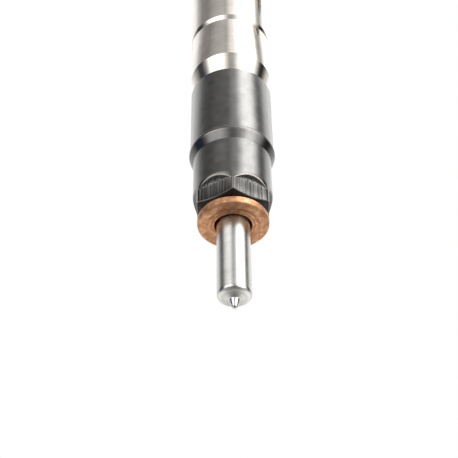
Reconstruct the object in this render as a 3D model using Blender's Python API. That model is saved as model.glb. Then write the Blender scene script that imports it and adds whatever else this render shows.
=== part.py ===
"""Common-rail diesel fuel injector, built as its separate pieces.

The injector stands upright with its nozzle pointing down. The origin is the centre of the
sealing washer's lower face, where the injector seats in the cylinder head, and +Z runs up
the injector. Sizes are in millimetres and are turned to metres as each mesh is made.
"""
from math import cos, pi, radians, sin, sqrt, tan

import bmesh
import bpy
from mathutils import Matrix, Vector

MM = 0.001

# Clearances
GAP = 0.3                    # between two pieces that seat on or fit in each other
RUN = 0.08                   # radial, between a sliding piece and its guide
SEAT_CLEARANCE = 0.06        # square to a conical seat, needle or ball on its seat
EDGE = 0.4                   # chamfer on the edges of the large turned pieces
SMALL_EDGE = 0.2             # chamfer on the edges of the small ones

# Nozzle
TIP_DEPTH = 20.9             # washer face to the very tip
NUB_END_RADIUS = 0.72
NUB_BASE_RADIUS = 1.12
NUB_LENGTH = 2.1
TIP_EDGE = 0.4               # corner of the cone and the shaft, cut back each way
NOZZLE_RADIUS = 3.5
SEAT_RISE = 0.25             # top of the nub to the foot of the needle's seat
SPRAY_RISE = 0.05            # spray holes start this much above the sac's middle
TIP_CONE_HALF_ANGLE = 76.0   # degrees, from the axis
COLLAR_RADIUS = 7.15
COLLAR_LENGTH = 16.0
NEEDLE_RADIUS = 2.0
NEEDLE_STEM_RADIUS = 1.4
FUEL_RING_CLEARANCE = 0.35   # radial, fuel space round the needle stem
SAC_RADIUS = 0.45
SAC_WALL = 0.6
SEAT_HALF_ANGLE = 30.0
GALLERY_RADIUS = 4.3
GALLERY_HEIGHT = 3.2
GALLERY_RISE = 3.5           # foot of the collar to the foot of the fuel gallery
GALLERY_SLOPE = 0.8
SPRAY_HOLES = 6
SPRAY_HOLE_RADIUS = 0.1
SPRAY_DROP_ANGLE = 15.0
NEEDLE_JOURNAL_RADIUS = 1.3
NEEDLE_JOURNAL_LENGTH = 2.85
FUEL_DRILL_RADIUS = 0.8

# Copper washer and nozzle nut
WASHER_THICKNESS = 1.85
WASHER_RADIUS = 7.5
WASHER_BORE_CLEARANCE = 0.38
NUT_LENGTH = 37.15
NUT_FLOOR = 6.0
NUT_WALL = 1.05
NUT_FLATS = 15.0             # across the six flats
NUT_FLAT_HEIGHT = 4.0        # end face to where the flats begin to run out
NUT_RUNOUT = 1.5             # height the run-out gains for each millimetre outward
NUT_END_LAND_RADIUS = 6.8
NUT_END_CHAMFER = 0.9
NUT_STEP_HEIGHT = 15.65      # end face to the foot of the step
NUT_STEP_LENGTH = 1.9
NUT_RIM = 0.25               # the step's rim stands this proud of the upper barrel
NUT_RIM_LENGTH = 0.7
NUT_EDGE = 0.3

# Injector body
SPIGOT_RADIUS = 7.85
NECK_LENGTH = 5.3
LAND_RADIUS = 9.4
LAND_LENGTH = 12.4
GROOVE_WIDTH = 1.7
GROOVE_DEPTH = 0.5
GROOVE_SLOPE = 0.2           # height of its steep lower side; the upper side tapers out
SHANK_RADIUS = 9.4
SHANK_LENGTH = 39.3
HEAD_RADIUS = 13.5
HEAD_LENGTH = 32.0
HEAD_TAPER = 3.0
CLAMP_HALF_WIDTH = 10.5      # axis to each flat that the clamp fork straddles
CLAMP_LEDGE_HEIGHT = 7.0     # from the foot of the head's barrel
CLAMP_SLOT_HEIGHT = 10.0
VALVE_LEDGE_RISE = 1.5       # top of the clamp slots to the ledge under the valve body
BODY_SPIGOT_WALL = 2.1       # round the valve chamber, where the solenoid nut screws on
BODY_SPIGOT_LENGTH = 9.7
SPRING_CHAMBER_DEPTH = 17.8
DRILL_WALL = 0.6             # between the spring chamber and the fuel drilling

# Needle spring and control piston
NEEDLE_SPRING_RADIUS = 2.75  # to the middle of the wire
NEEDLE_SPRING_WIRE = 1.0
NEEDLE_SPRING_TURNS = 7
SPRING_SEAT_THICKNESS = 2.1
SPRING_SHIM_THICKNESS = 0.95
CHAMBER_CLEARANCE = 0.75     # radial, round the needle spring
PISTON_STEM_RADIUS = 1.9
PISTON_GUIDE_RADIUS = 2.15
PISTON_GUIDE_LENGTH = 14.0
PISTON_BORE_CLEARANCE = 0.35

# Dowel pins between nozzle and body
DOWEL_RADIUS = 0.8
DOWEL_LENGTH = 5.0
DOWEL_ANGLES = (90.0, 210.0)

# Control valve
SNOUT_RADIUS = 5.2
SNOUT_LENGTH = 7.8
SEAL_RING_THICKNESS = 1.4
FUEL_ANNULUS_HEIGHT = 2.5
FUEL_ANNULUS_DEPTH = 1.1
VALVE_FLANGE_RADIUS = 9.1
VALVE_FLANGE_THICKNESS = 4.2
CONTROL_CHAMBER_HEIGHT = 1.6
OUT_THROTTLE_RADIUS = 0.35
IN_THROTTLE_RADIUS = 0.25
BALL_SEAT_RADIUS = 1.2
BALL_RADIUS = 0.675
BALL_GUIDE_RADIUS = 1.9
BALL_GUIDE_HEIGHT = 1.7

# Armature
GUIDE_FLANGE_THICKNESS = 2.3
GUIDE_SLEEVE_RADIUS = 3.3
GUIDE_SLEEVE_LENGTH = 4.6
DRAIN_HOLE_RADIUS = 0.6
PIN_RADIUS = 1.5
PIN_COLLAR_RADIUS = 2.5
PIN_COLLAR_THICKNESS = 0.8
PIN_TOP_RADIUS = 1.3
PIN_TOP_LENGTH = 1.4
ARMATURE_SPRING_WIRE = 0.7
ARMATURE_SPRING_TURNS = 4
PLATE_RADIUS = 6.4
PLATE_THICKNESS = 1.8
PLATE_HOLES = 6
CLAMP_NUT_HEIGHT = 5.7
LIFT_SHIM_THICKNESS = 0.8
TOOL_SLOT_WIDTH = 2.0
TOOL_SLOT_DEPTH = 1.6

# Solenoid
CORE_HEIGHT = 8.7
CORE_ROOF = 1.5
CORE_BORE_RADIUS = 3.1
CORE_INNER_WALL = 1.5
CORE_OUTER_WALL = 1.5
CORE_SIDE_CLEARANCE = 0.5
BOBBIN_WALL = 0.5
BOBBIN_FLANGE = 0.6
VALVE_SPRING_WIRE = 0.8
VALVE_SPRING_TURNS = 6
VALVE_SPRING_SHIM_THICKNESS = 1.0
SOLENOID_NUT_FLATS = 29.0
SOLENOID_NUT_WALL = 1.8
SOLENOID_NUT_HEX_HEIGHT = 9.7
SOLENOID_NUT_LIP = 2.0

# Electrical connector
FLANGE_RADIUS = 11.2
FLANGE_THICKNESS = 3.8
NECK_RADIUS = 9.4
TOWER_HEIGHT = 19.0          # above the flange
TOWER_EDGE = 1.0
SOCKET_LENGTH = 15.0
SOCKET_WIDTH = 12.0
SOCKET_HEIGHT = 8.8
SOCKET_WALL = 1.8
SOCKET_REACH = 26.0          # axis to the socket's rim
SOCKET_TOP_OFFSET = 0.6      # top of the socket's shell below the tower's top
LATCH_WIDTH = 5.0
LATCH_LENGTH = 4.0
LATCH_HEIGHT = 1.4
LATCH_INSET = 4.0            # socket rim to the latch under it
TERMINAL_SPACING = 5.2
TERMINAL_THICKNESS = 0.8
TERMINAL_HEIGHT = 2.2
TERMINAL_LEG_WIDTH = 1.6
TERMINAL_INSET = 6.0         # socket rim to the terminals' ends
O_RING_WIRE = 1.5
DRAIN_RADIUS = 1.6

# Return nipple
NIPPLE_RADIUS = 2.75
NIPPLE_DEPTH = 7.6
NIPPLE_BORE_RADIUS = 1.2
NIPPLE_FLANGE_RADIUS = 4.2
NIPPLE_FLANGE_THICKNESS = 1.3
NIPPLE_TUBE_RADIUS = 2.1
NIPPLE_BARB_RADIUS = 2.9
NIPPLE_BARB_LENGTH = 4.0
NIPPLE_BARB_LAND = 0.6
NIPPLE_GROOVE_RISE = 3.0     # nipple's foot to the middle of its ring groove
NIPPLE_LENGTH = 8.4
NIPPLE_O_RING_WIRE = 0.9

# High-pressure inlet
INLET_HEIGHT = 7.0           # above the foot of the head's barrel
BOSS_RADIUS = 9.0
BOSS_REACH = 19.0            # injector axis to the boss's face
INLET_THREAD_RADIUS = 5.8
INLET_THREAD_LENGTH = 10.0
INLET_SEAL_THICKNESS = 1.0
INLET_SEAL_RADIUS = 8.2
INLET_FLATS = 17.0
INLET_HEX_LENGTH = 5.0
INLET_NECK_RADIUS = 5.6
INLET_NECK_LENGTH = 1.4
INLET_PIPE_THREAD_RADIUS = 7.0
INLET_PIPE_THREAD_LENGTH = 12.0
INLET_CONE_RADIUS = 4.6
FILTER_RADIUS = 1.8
FILTER_LENGTH = 16.0
FILTER_FLUTES = 6
FILTER_FLUTE_DEPTH = 0.45

ROUND = 32                   # sides of the large turned pieces
SMALL_ROUND = 16
TINY_ROUND = 12
SPRING_STEPS = 10            # for each turn of a spring
SPRING_SECTION = 5           # sides of a spring wire
RING_SECTION = 8             # sides of an O-ring's section

# Stations along the axis, from the washer up
nut_end = WASHER_THICKNESS + GAP
nut_seat = nut_end + NUT_FLOOR
nut_top = nut_end + NUT_LENGTH
collar_bottom = nut_seat + GAP
nozzle_top = collar_bottom + COLLAR_LENGTH
body_bottom = nozzle_top + GAP
spring_chamber_top = body_bottom + SPRING_CHAMBER_DEPTH
land_bottom = nut_top + NECK_LENGTH
groove_bottom = land_bottom + LAND_LENGTH
groove_top = groove_bottom + GROOVE_WIDTH
shank_top = groove_top + SHANK_LENGTH
head_bottom = shank_top + HEAD_TAPER
head_top = head_bottom + HEAD_LENGTH
body_top = head_top + BODY_SPIGOT_LENGTH
inlet_height = head_bottom + INLET_HEIGHT

valve_ledge = head_bottom + CLAMP_LEDGE_HEIGHT + CLAMP_SLOT_HEIGHT + VALVE_LEDGE_RISE
valve_flange_bottom = valve_ledge + GAP
valve_top = valve_flange_bottom + VALVE_FLANGE_THICKNESS
snout_bottom = valve_flange_bottom - SNOUT_LENGTH
seal_ring_bottom = snout_bottom - GAP - SEAL_RING_THICKNESS
snout_bore_floor = seal_ring_bottom - GAP
control_chamber_top = valve_flange_bottom - 0.2

ball_centre = valve_top - BALL_SEAT_RADIUS + (BALL_RADIUS + SEAT_CLEARANCE) * sqrt(2.0)
ball_guide_bottom = valve_top + GAP
ball_guide_top = ball_guide_bottom + BALL_GUIDE_HEIGHT
guide_bottom = valve_top + GAP
guide_flange_top = guide_bottom + GUIDE_FLANGE_THICKNESS
guide_recess_top = ball_guide_top + GAP + 0.05
guide_top = guide_flange_top + GUIDE_SLEEVE_LENGTH
pin_bottom = ball_guide_top + GAP
clamp_nut_bottom = guide_flange_top + GAP
clamp_nut_top = clamp_nut_bottom + CLAMP_NUT_HEIGHT
lift_shim_bottom = clamp_nut_top + GAP
core_bottom = lift_shim_bottom + LIFT_SHIM_THICKNESS + GAP
core_top = core_bottom + CORE_HEIGHT
plate_top = core_bottom - GAP - 0.2
plate_bottom = plate_top - PLATE_THICKNESS
pin_collar_bottom = plate_top + GAP
pin_collar_top = pin_collar_bottom + PIN_COLLAR_THICKNESS
coil_roof = core_top - CORE_ROOF

housing_bottom = max(body_top, core_top) + GAP
flange_top = housing_bottom + FLANGE_THICKNESS
tower_top = flange_top + TOWER_HEIGHT
solenoid_nut_bottom = head_top + GAP
solenoid_nut_top = flange_top + GAP + SOLENOID_NUT_LIP
socket_middle = tower_top - SOCKET_TOP_OFFSET - SOCKET_WALL - SOCKET_HEIGHT / 2

# Radii that follow from what fits inside
needle_bore = NEEDLE_RADIUS + RUN
stem_bore = NEEDLE_STEM_RADIUS + FUEL_RING_CLEARANCE
spring_chamber_radius = NEEDLE_SPRING_RADIUS + NEEDLE_SPRING_WIRE / 2 + CHAMBER_CLEARANCE
drill_reach = spring_chamber_radius + DRILL_WALL + FUEL_DRILL_RADIUS
dowel_reach = spring_chamber_radius + DRILL_WALL + DOWEL_RADIUS + GAP / 2
piston_bore = PISTON_GUIDE_RADIUS + PISTON_BORE_CLEARANCE
nut_shaft_hole = NOZZLE_RADIUS + WASHER_BORE_CLEARANCE
nut_bore = COLLAR_RADIUS + GAP
nut_thread = max(SPIGOT_RADIUS, COLLAR_RADIUS) + GAP
nut_lower_radius = nut_bore + NUT_WALL
nut_upper_radius = max(nut_thread, nut_bore) + NUT_WALL
snout_bore = SNOUT_RADIUS + GAP
annulus_radius = snout_bore + FUEL_ANNULUS_DEPTH
valve_chamber = VALVE_FLANGE_RADIUS + GAP
body_spigot_radius = valve_chamber + BODY_SPIGOT_WALL
valve_drill_reach = snout_bore + 0.2 + FUEL_DRILL_RADIUS
armature_spring_radius = GUIDE_SLEEVE_RADIUS + 0.35 + ARMATURE_SPRING_WIRE / 2
drain_hole_reach = armature_spring_radius + ARMATURE_SPRING_WIRE / 2 + 0.35 + DRAIN_HOLE_RADIUS
clamp_nut_bore = PLATE_RADIUS + 0.4
core_radius = valve_chamber - CORE_SIDE_CLEARANCE
coil_inner = CORE_BORE_RADIUS + CORE_INNER_WALL
coil_outer = core_radius - CORE_OUTER_WALL
valve_spring_radius = PIN_TOP_RADIUS + 0.4 + VALVE_SPRING_WIRE / 2
solenoid_nut_bore = max(body_spigot_radius, FLANGE_RADIUS) + GAP
solenoid_nut_radius = solenoid_nut_bore + SOLENOID_NUT_WALL
inlet_bore = FILTER_RADIUS + GAP
terminal_leg_x = (coil_inner + coil_outer) / 2


def remove_everything():
    """Start from an empty scene."""
    for thing in list(bpy.data.objects):
        bpy.data.objects.remove(thing, do_unlink=True)


def metal(name, colour, roughness):
    """A bare or plated metal."""
    return finish(name, colour, roughness, 1.0)


def finish(name, colour, roughness, metallic=0.0):
    """One Principled material."""
    made = bpy.data.materials.new(name)
    made.use_nodes = True
    shader = made.node_tree.nodes["Principled BSDF"]
    shader.inputs["Base Color"].default_value = (*colour, 1.0)
    shader.inputs["Roughness"].default_value = roughness
    shader.inputs["Metallic"].default_value = metallic
    made.diffuse_color = (*colour, 1.0)
    return made


def place(name, bm, material=None):
    """Turn a bmesh in millimetres into a named, smooth-shaded object in metres."""
    bmesh.ops.scale(bm, vec=(MM, MM, MM), verts=bm.verts)
    bmesh.ops.recalc_face_normals(bm, faces=bm.faces)
    mesh = bpy.data.meshes.new(name)
    bm.to_mesh(mesh)
    bm.free()
    mesh.shade_smooth()
    mesh.set_sharp_from_angle(angle=radians(30))
    piece = bpy.data.objects.new(name, mesh)
    bpy.context.scene.collection.objects.link(piece)
    if material:
        mesh.materials.append(material)
    return piece


def turned_mesh(outline, sides, start=0.0):
    """Spin an outline of (radius, height) points round the Z axis into a closed solid.

    An outline that starts and ends on the axis makes a solid piece. Any other outline is
    closed from its last point to its first and makes a ring.
    """
    bm = bmesh.new()
    turn = Matrix.Rotation(start, 3, "Z")
    points = [bm.verts.new(turn @ Vector((r, 0.0, z))) for r, z in outline]
    edges = [bm.edges.new(pair) for pair in zip(points, points[1:])]
    if outline[0][0] > 0.0 or outline[-1][0] > 0.0:
        edges.append(bm.edges.new((points[-1], points[0])))
    bmesh.ops.spin(bm, geom=points + edges, cent=(0, 0, 0), axis=(0, 0, 1),
                   angle=2 * pi, steps=sides, use_merge=True, use_duplicate=False)
    bmesh.ops.remove_doubles(bm, verts=bm.verts, dist=0.0005)
    return bm


def turned(name, outline, material=None, sides=SMALL_ROUND):
    """A piece turned round the injector's own axis."""
    return place(name, turned_mesh(outline, sides), material)


def turned_sideways(name, outline, material=None, sides=SMALL_ROUND):
    """A piece turned round the inlet's axis: heights in the outline run along +X."""
    bm = turned_mesh(outline, sides)
    bmesh.ops.rotate(bm, cent=(0, 0, 0), matrix=Matrix.Rotation(pi / 2, 3, "Y"),
                     verts=bm.verts)
    piece = place(name, bm, material)
    piece.location.z = inlet_height * MM
    return piece


def prism_mesh(corners, bottom, top):
    """Extrude a flat polygon of (x, y) corners from one height to another."""
    bm = bmesh.new()
    base = bm.faces.new([bm.verts.new((x, y, bottom)) for x, y in corners])
    risen = bmesh.ops.extrude_face_region(bm, geom=[base])["geom"]
    bmesh.ops.translate(bm, vec=(0, 0, top - bottom),
                        verts=[v for v in risen if isinstance(v, bmesh.types.BMVert)])
    return bm


def block_mesh(low, high):
    """A box between two corners."""
    corners = [(low[0], low[1]), (high[0], low[1]), (high[0], high[1]), (low[0], high[1])]
    return prism_mesh(corners, low[2], high[2])


def hexagon(flats):
    """Corners of a hexagon across flats, with a corner at the front (-Y)."""
    reach = flats / 2 / cos(pi / 6)
    return [(reach * cos(a), reach * sin(a)) for a in (k * pi / 3 - pi / 2 for k in range(6))]


def hex_trimmer(name, flats, bottom, top, outside, runout=0.0):
    """A sleeve with a hexagonal hole, which leaves six flats when it is cut away.

    With a run-out, the hole widens above top, gaining that much height for each
    millimetre outward, as a milling cutter leaves it.
    """
    bm = bmesh.new()
    loops = [(flats, bottom), (outside * 2, bottom), (outside * 2, top)]
    if runout:
        widened = outside * 2 - 1.0
        loops[-1] = (outside * 2, top + runout * (widened - flats) / 2)
        loops.append((widened, top + runout * (widened - flats) / 2))
    loops.append((flats, top))
    rings = [[bm.verts.new((x, y, z)) for x, y in hexagon(across)] for across, z in loops]
    for near, far in zip(rings, rings[1:] + rings[:1]):
        for k in range(6):
            bm.faces.new((near[k], near[(k + 1) % 6], far[(k + 1) % 6], far[k]))
    return place(name, bm)


def rod_mesh(radius, start, end, sides=TINY_ROUND):
    """A plain rod between two points."""
    start = Vector(start)
    along = Vector(end) - start
    bm = bmesh.new()
    bmesh.ops.create_cone(bm, cap_ends=True, segments=sides, radius1=radius,
                          radius2=radius, depth=along.length)
    turn = Vector((0, 0, 1)).rotation_difference(along).to_matrix()
    bmesh.ops.rotate(bm, cent=(0, 0, 0), matrix=turn, verts=bm.verts)
    bmesh.ops.translate(bm, vec=start + along / 2, verts=bm.verts)
    return bm


def hidden(piece):
    """A cutter or a joining blank is only a guide."""
    piece.hide_render = True
    piece.display_type = "WIRE"
    return piece


def combine(target, tool, operation="DIFFERENCE"):
    """Cut a tool away from a piece, or weld it on."""
    step = target.modifiers.new(tool.name, "BOOLEAN")
    step.operation = operation
    step.solver = "EXACT"
    step.object = hidden(tool)


def drill(target, name, radius, start, end, sides=TINY_ROUND):
    """Drill a round hole between two points."""
    combine(target, place(name, rod_mesh(radius, start, end, sides)))


def round_the_axis(radius, angle, z):
    """A point at a radius and an angle in degrees."""
    return (radius * cos(radians(angle)), radius * sin(radians(angle)), z)


def coil_spring(name, radius, wire, turns, bottom, top, material):
    """A compression spring with its wire's outside between two heights."""
    steps = turns * SPRING_STEPS
    low = bottom + wire / 2
    rise = top - wire / 2 - low
    bm = bmesh.new()
    rings = []
    for k in range(steps + 1):
        angle = 2 * pi * k / SPRING_STEPS
        out = Vector((cos(angle), sin(angle), 0.0))
        middle = out * radius + Vector((0, 0, low + rise * k / steps))
        ring = [bm.verts.new(middle + out * (wire / 2 * cos(t)) + Vector((0, 0, wire / 2 * sin(t))))
                for t in (2 * pi * s / SPRING_SECTION for s in range(SPRING_SECTION))]
        rings.append(ring)
    for near, far in zip(rings, rings[1:]):
        for s in range(SPRING_SECTION):
            after = (s + 1) % SPRING_SECTION
            bm.faces.new((near[s], near[after], far[after], far[s]))
    bm.faces.new(rings[0])
    bm.faces.new(rings[-1])
    return place(name, bm, material)


def o_ring(name, radius, wire, middle, material):
    """A rubber ring of round section."""
    section = [(radius + wire / 2 * cos(a), middle + wire / 2 * sin(a))
               for a in (2 * pi * k / RING_SECTION for k in range(RING_SECTION))]
    return turned(name, section, material)


def ring(name, inner, outer, bottom, top, material, edge=0.15):
    """A plain washer with its outer edges broken."""
    outline = [(inner, bottom), (outer - edge, bottom), (outer, bottom + edge),
               (outer, top - edge), (outer - edge, top), (inner, top)]
    return turned(name, outline, material)


remove_everything()

ground_steel = metal("ground nozzle steel", (0.62, 0.61, 0.59), 0.22)
tool_steel = metal("hardened tool steel", (0.55, 0.55, 0.56), 0.3)
black_oxide = metal("black oxide steel", (0.06, 0.06, 0.06), 0.38)
bright_body = metal("bright plated steel", (0.78, 0.75, 0.7), 0.18)
spring_wire = metal("spring wire", (0.35, 0.35, 0.36), 0.35)
copper = metal("annealed copper", (0.75, 0.35, 0.17), 0.4)
enamelled_wire = metal("enamelled copper wire", (0.5, 0.2, 0.08), 0.35)
soft_iron = metal("sintered soft iron", (0.2, 0.2, 0.21), 0.55)
tin_plate = metal("tinned brass", (0.75, 0.74, 0.7), 0.3)
black_plastic = finish("glass filled nylon", (0.018, 0.018, 0.02), 0.5)
bobbin_plastic = finish("bobbin plastic", (0.45, 0.4, 0.28), 0.5)
black_rubber = finish("fluorocarbon rubber", (0.015, 0.015, 0.015), 0.6)


# Nozzle body: ground shaft with a conical tip and sac, and a collar that the nut clamps
tip = -TIP_DEPTH
nub_top = tip + NUB_LENGTH
cone_top = nub_top + (NOZZLE_RADIUS - NUB_BASE_RADIUS) / tan(radians(TIP_CONE_HALF_ANGLE))
cone_edge_radius = NOZZLE_RADIUS - TIP_EDGE * sin(radians(TIP_CONE_HALF_ANGLE))
cone_edge = cone_top - TIP_EDGE * cos(radians(TIP_CONE_HALF_ANGLE))
sac_end = tip + SAC_WALL
seat_bottom = nub_top + SEAT_RISE
seat_top = seat_bottom + (stem_bore - SAC_RADIUS) / tan(radians(SEAT_HALF_ANGLE))
gallery_bottom = collar_bottom + GALLERY_RISE
gallery_top = gallery_bottom + GALLERY_HEIGHT
nub = [(NUB_END_RADIUS * sin(a), tip + NUB_END_RADIUS * (1 - cos(a)))
       for a in (k * pi / 8 for k in range(5))]
nozzle_outline = nub + [
    (NUB_BASE_RADIUS, nub_top), (cone_edge_radius, cone_edge),
    (NOZZLE_RADIUS, cone_top + TIP_EDGE),
    (NOZZLE_RADIUS, collar_bottom), (COLLAR_RADIUS - EDGE, collar_bottom),
    (COLLAR_RADIUS, collar_bottom + EDGE), (COLLAR_RADIUS, nozzle_top - EDGE),
    (COLLAR_RADIUS - EDGE, nozzle_top), (needle_bore, nozzle_top),
    (needle_bore, gallery_top), (GALLERY_RADIUS, gallery_top - GALLERY_SLOPE),
    (GALLERY_RADIUS, gallery_bottom + GALLERY_SLOPE), (stem_bore, gallery_bottom),
    (stem_bore, seat_top), (SAC_RADIUS, seat_bottom), (SAC_RADIUS, sac_end), (0.0, sac_end)]
nozzle_body = turned("nozzle_body", nozzle_outline, ground_steel, ROUND)
drill(nozzle_body, "nozzle_fuel_drilling", FUEL_DRILL_RADIUS,
      (drill_reach, 0, (gallery_bottom + gallery_top) / 2), (drill_reach, 0, nozzle_top + 1))
spray_start = 0.25
spray_length = 1.6
spray_height = (sac_end + nub_top) / 2 + SPRAY_RISE
for number in range(SPRAY_HOLES):
    turn = 360.0 / SPRAY_HOLES * (number + 0.5)
    drop = spray_length * tan(radians(SPRAY_DROP_ANGLE))
    drill(nozzle_body, f"spray_hole_{number + 1}", SPRAY_HOLE_RADIUS,
          round_the_axis(spray_start, turn, spray_height),
          round_the_axis(spray_start + spray_length, turn, spray_height - drop), 6)

# Nozzle needle: conical tip on the seat, slim stem, lapped guide and a journal on top
needle_apex = (seat_bottom - SAC_RADIUS / tan(radians(SEAT_HALF_ANGLE))
               + SEAT_CLEARANCE / sin(radians(SEAT_HALF_ANGLE)))
needle_tip = seat_bottom - 0.05
needle_tip_radius = (needle_tip - needle_apex) * tan(radians(SEAT_HALF_ANGLE))
needle_cone_top = needle_apex + NEEDLE_STEM_RADIUS / tan(radians(SEAT_HALF_ANGLE))
needle_shoulder = nozzle_top + 0.7
journal_top = needle_shoulder + NEEDLE_JOURNAL_LENGTH
turned("nozzle_needle", [
    (0.0, needle_tip), (needle_tip_radius, needle_tip), (NEEDLE_STEM_RADIUS, needle_cone_top),
    (NEEDLE_STEM_RADIUS, gallery_bottom + 1.0), (NEEDLE_RADIUS, gallery_bottom + 1.8),
    (NEEDLE_RADIUS, needle_shoulder), (NEEDLE_JOURNAL_RADIUS, needle_shoulder),
    (NEEDLE_JOURNAL_RADIUS, journal_top - SMALL_EDGE),
    (NEEDLE_JOURNAL_RADIUS - SMALL_EDGE, journal_top),
    (0.0, journal_top)], tool_steel)

# Spring seat, spring and preload shim above the needle
spring_seat_bottom = needle_shoulder + GAP
spring_seat_top = spring_seat_bottom + SPRING_SEAT_THICKNESS
spring_shim_top = spring_chamber_top - GAP
spring_shim_bottom = spring_shim_top - SPRING_SHIM_THICKNESS
spring_plate_radius = spring_chamber_radius - 0.4
ring("needle_spring_seat", NEEDLE_JOURNAL_RADIUS + GAP, spring_plate_radius,
     spring_seat_bottom, spring_seat_top, tool_steel)
coil_spring("needle_spring", NEEDLE_SPRING_RADIUS, NEEDLE_SPRING_WIRE, NEEDLE_SPRING_TURNS,
            spring_seat_top + GAP, spring_shim_bottom - GAP, spring_wire)
ring("needle_spring_shim", PISTON_STEM_RADIUS + PISTON_BORE_CLEARANCE, spring_plate_radius,
     spring_shim_bottom, spring_shim_top, tool_steel)

# Copper washer: seals the injector in the cylinder head
turned("sealing_washer", [
    (nut_shaft_hole, 0.0), (WASHER_RADIUS - 0.3, 0.0), (WASHER_RADIUS, 0.35),
    (WASHER_RADIUS, WASHER_THICKNESS - 0.35), (WASHER_RADIUS - 0.3, WASHER_THICKNESS),
    (nut_shaft_hole, WASHER_THICKNESS)], copper, ROUND)

# Nozzle nut: clamps the nozzle to the body, with six flats at its lower end
nut_step = nut_end + NUT_STEP_HEIGHT
nut_rim_bottom = nut_step + NUT_STEP_LENGTH
nut_rim_radius = nut_upper_radius + NUT_RIM
nut_thread_bottom = nozzle_top - 1.0
nozzle_nut = turned("nozzle_nut", [
    (nut_shaft_hole, nut_end), (NUT_END_LAND_RADIUS, nut_end),
    (nut_lower_radius, nut_end + NUT_END_CHAMFER), (nut_lower_radius, nut_step),
    (nut_rim_radius - 0.05, nut_rim_bottom), (nut_rim_radius, nut_rim_bottom + 0.1),
    (nut_rim_radius, nut_rim_bottom + NUT_RIM_LENGTH),
    (nut_upper_radius, nut_rim_bottom + NUT_RIM_LENGTH + NUT_RIM),
    (nut_upper_radius, nut_top - NUT_EDGE), (nut_upper_radius - NUT_EDGE, nut_top),
    (nut_thread, nut_top), (nut_thread, nut_thread_bottom),
    (nut_bore, nut_thread_bottom - 0.5), (nut_bore, nut_seat), (nut_shaft_hole, nut_seat)],
    black_oxide, ROUND)
combine(nozzle_nut, hex_trimmer("nozzle_nut_flats", NUT_FLATS, nut_end - 1.0,
                                nut_end + NUT_FLAT_HEIGHT, nut_lower_radius + 2.0,
                                NUT_RUNOUT))

# Injector body: turned shank with an annular groove, forged head with the inlet boss
body_outline = [
    (spring_chamber_radius, body_bottom), (SPIGOT_RADIUS - EDGE, body_bottom),
    (SPIGOT_RADIUS, body_bottom + EDGE), (SPIGOT_RADIUS, nut_top - EDGE),
    (LAND_RADIUS, land_bottom), (LAND_RADIUS, groove_bottom),
    (LAND_RADIUS - GROOVE_DEPTH, groove_bottom + GROOVE_SLOPE),
    (SHANK_RADIUS, groove_top), (SHANK_RADIUS, shank_top), (HEAD_RADIUS, head_bottom),
    (HEAD_RADIUS, head_top - EDGE), (HEAD_RADIUS - EDGE, head_top),
    (body_spigot_radius, head_top),
    (body_spigot_radius, body_top - EDGE), (body_spigot_radius - EDGE, body_top),
    (valve_chamber, body_top), (valve_chamber, valve_ledge), (annulus_radius, valve_ledge),
    (annulus_radius, valve_ledge - FUEL_ANNULUS_HEIGHT),
    (snout_bore, valve_ledge - FUEL_ANNULUS_HEIGHT), (snout_bore, snout_bore_floor),
    (piston_bore, snout_bore_floor), (piston_bore, spring_chamber_top),
    (spring_chamber_radius, spring_chamber_top)]
injector_body = turned("injector_body", body_outline, bright_body, ROUND)
inlet_nose = BOSS_REACH - INLET_THREAD_LENGTH
for side, name in ((-1, "front"), (1, "back")):
    near = side * CLAMP_HALF_WIDTH
    far = side * (HEAD_RADIUS + 2.0)
    combine(injector_body, place(f"clamp_slot_{name}", block_mesh(
        (-HEAD_RADIUS - 1, min(near, far), head_bottom + CLAMP_LEDGE_HEIGHT),
        (HEAD_RADIUS + 1, max(near, far),
         head_bottom + CLAMP_LEDGE_HEIGHT + CLAMP_SLOT_HEIGHT))))
drill(injector_body, "body_fuel_drilling", FUEL_DRILL_RADIUS,
      (drill_reach, 0, body_bottom - 1), (drill_reach, 0, inlet_height + 0.3))
drill(injector_body, "valve_fuel_drilling", FUEL_DRILL_RADIUS,
      (valve_drill_reach, 0, inlet_height - 0.2),
      (valve_drill_reach, 0, valve_ledge - FUEL_ANNULUS_HEIGHT / 2))

# Dowel pins: turn the nozzle's fuel hole in line with the body's
for number, angle in enumerate(DOWEL_ANGLES, 1):
    low = (nozzle_top + body_bottom) / 2 - DOWEL_LENGTH / 2
    high = low + DOWEL_LENGTH
    place(f"dowel_pin_{number}", rod_mesh(
        DOWEL_RADIUS, round_the_axis(dowel_reach, angle, low),
        round_the_axis(dowel_reach, angle, high)), tool_steel)
    drill(nozzle_body, f"nozzle_dowel_hole_{number}", DOWEL_RADIUS + GAP / 2,
          round_the_axis(dowel_reach, angle, low - GAP),
          round_the_axis(dowel_reach, angle, nozzle_top + 1))
    drill(injector_body, f"body_dowel_hole_{number}", DOWEL_RADIUS + GAP / 2,
          round_the_axis(dowel_reach, angle, body_bottom - 1),
          round_the_axis(dowel_reach, angle, high + GAP))

# Inlet boss: welded on once the head is cut, then bored for the connector's thread
boss = turned_sideways("inlet_boss_blank", [
    (0.0, inlet_nose - 1.0), (BOSS_RADIUS, inlet_nose - 1.0), (BOSS_RADIUS, BOSS_REACH - EDGE),
    (BOSS_RADIUS - EDGE, BOSS_REACH), (0.0, BOSS_REACH)])
combine(injector_body, boss, "UNION")
cross_drill_radius = FUEL_DRILL_RADIUS + 0.1
thread_hole = turned_sideways("inlet_thread_hole", [
    (0.0, drill_reach - 0.3), (cross_drill_radius, drill_reach - 0.3),
    (cross_drill_radius, inlet_nose - GAP), (INLET_THREAD_RADIUS + GAP, inlet_nose - GAP),
    (INLET_THREAD_RADIUS + GAP, BOSS_REACH + 1.0), (0.0, BOSS_REACH + 1.0)])
combine(injector_body, thread_hole)

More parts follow.
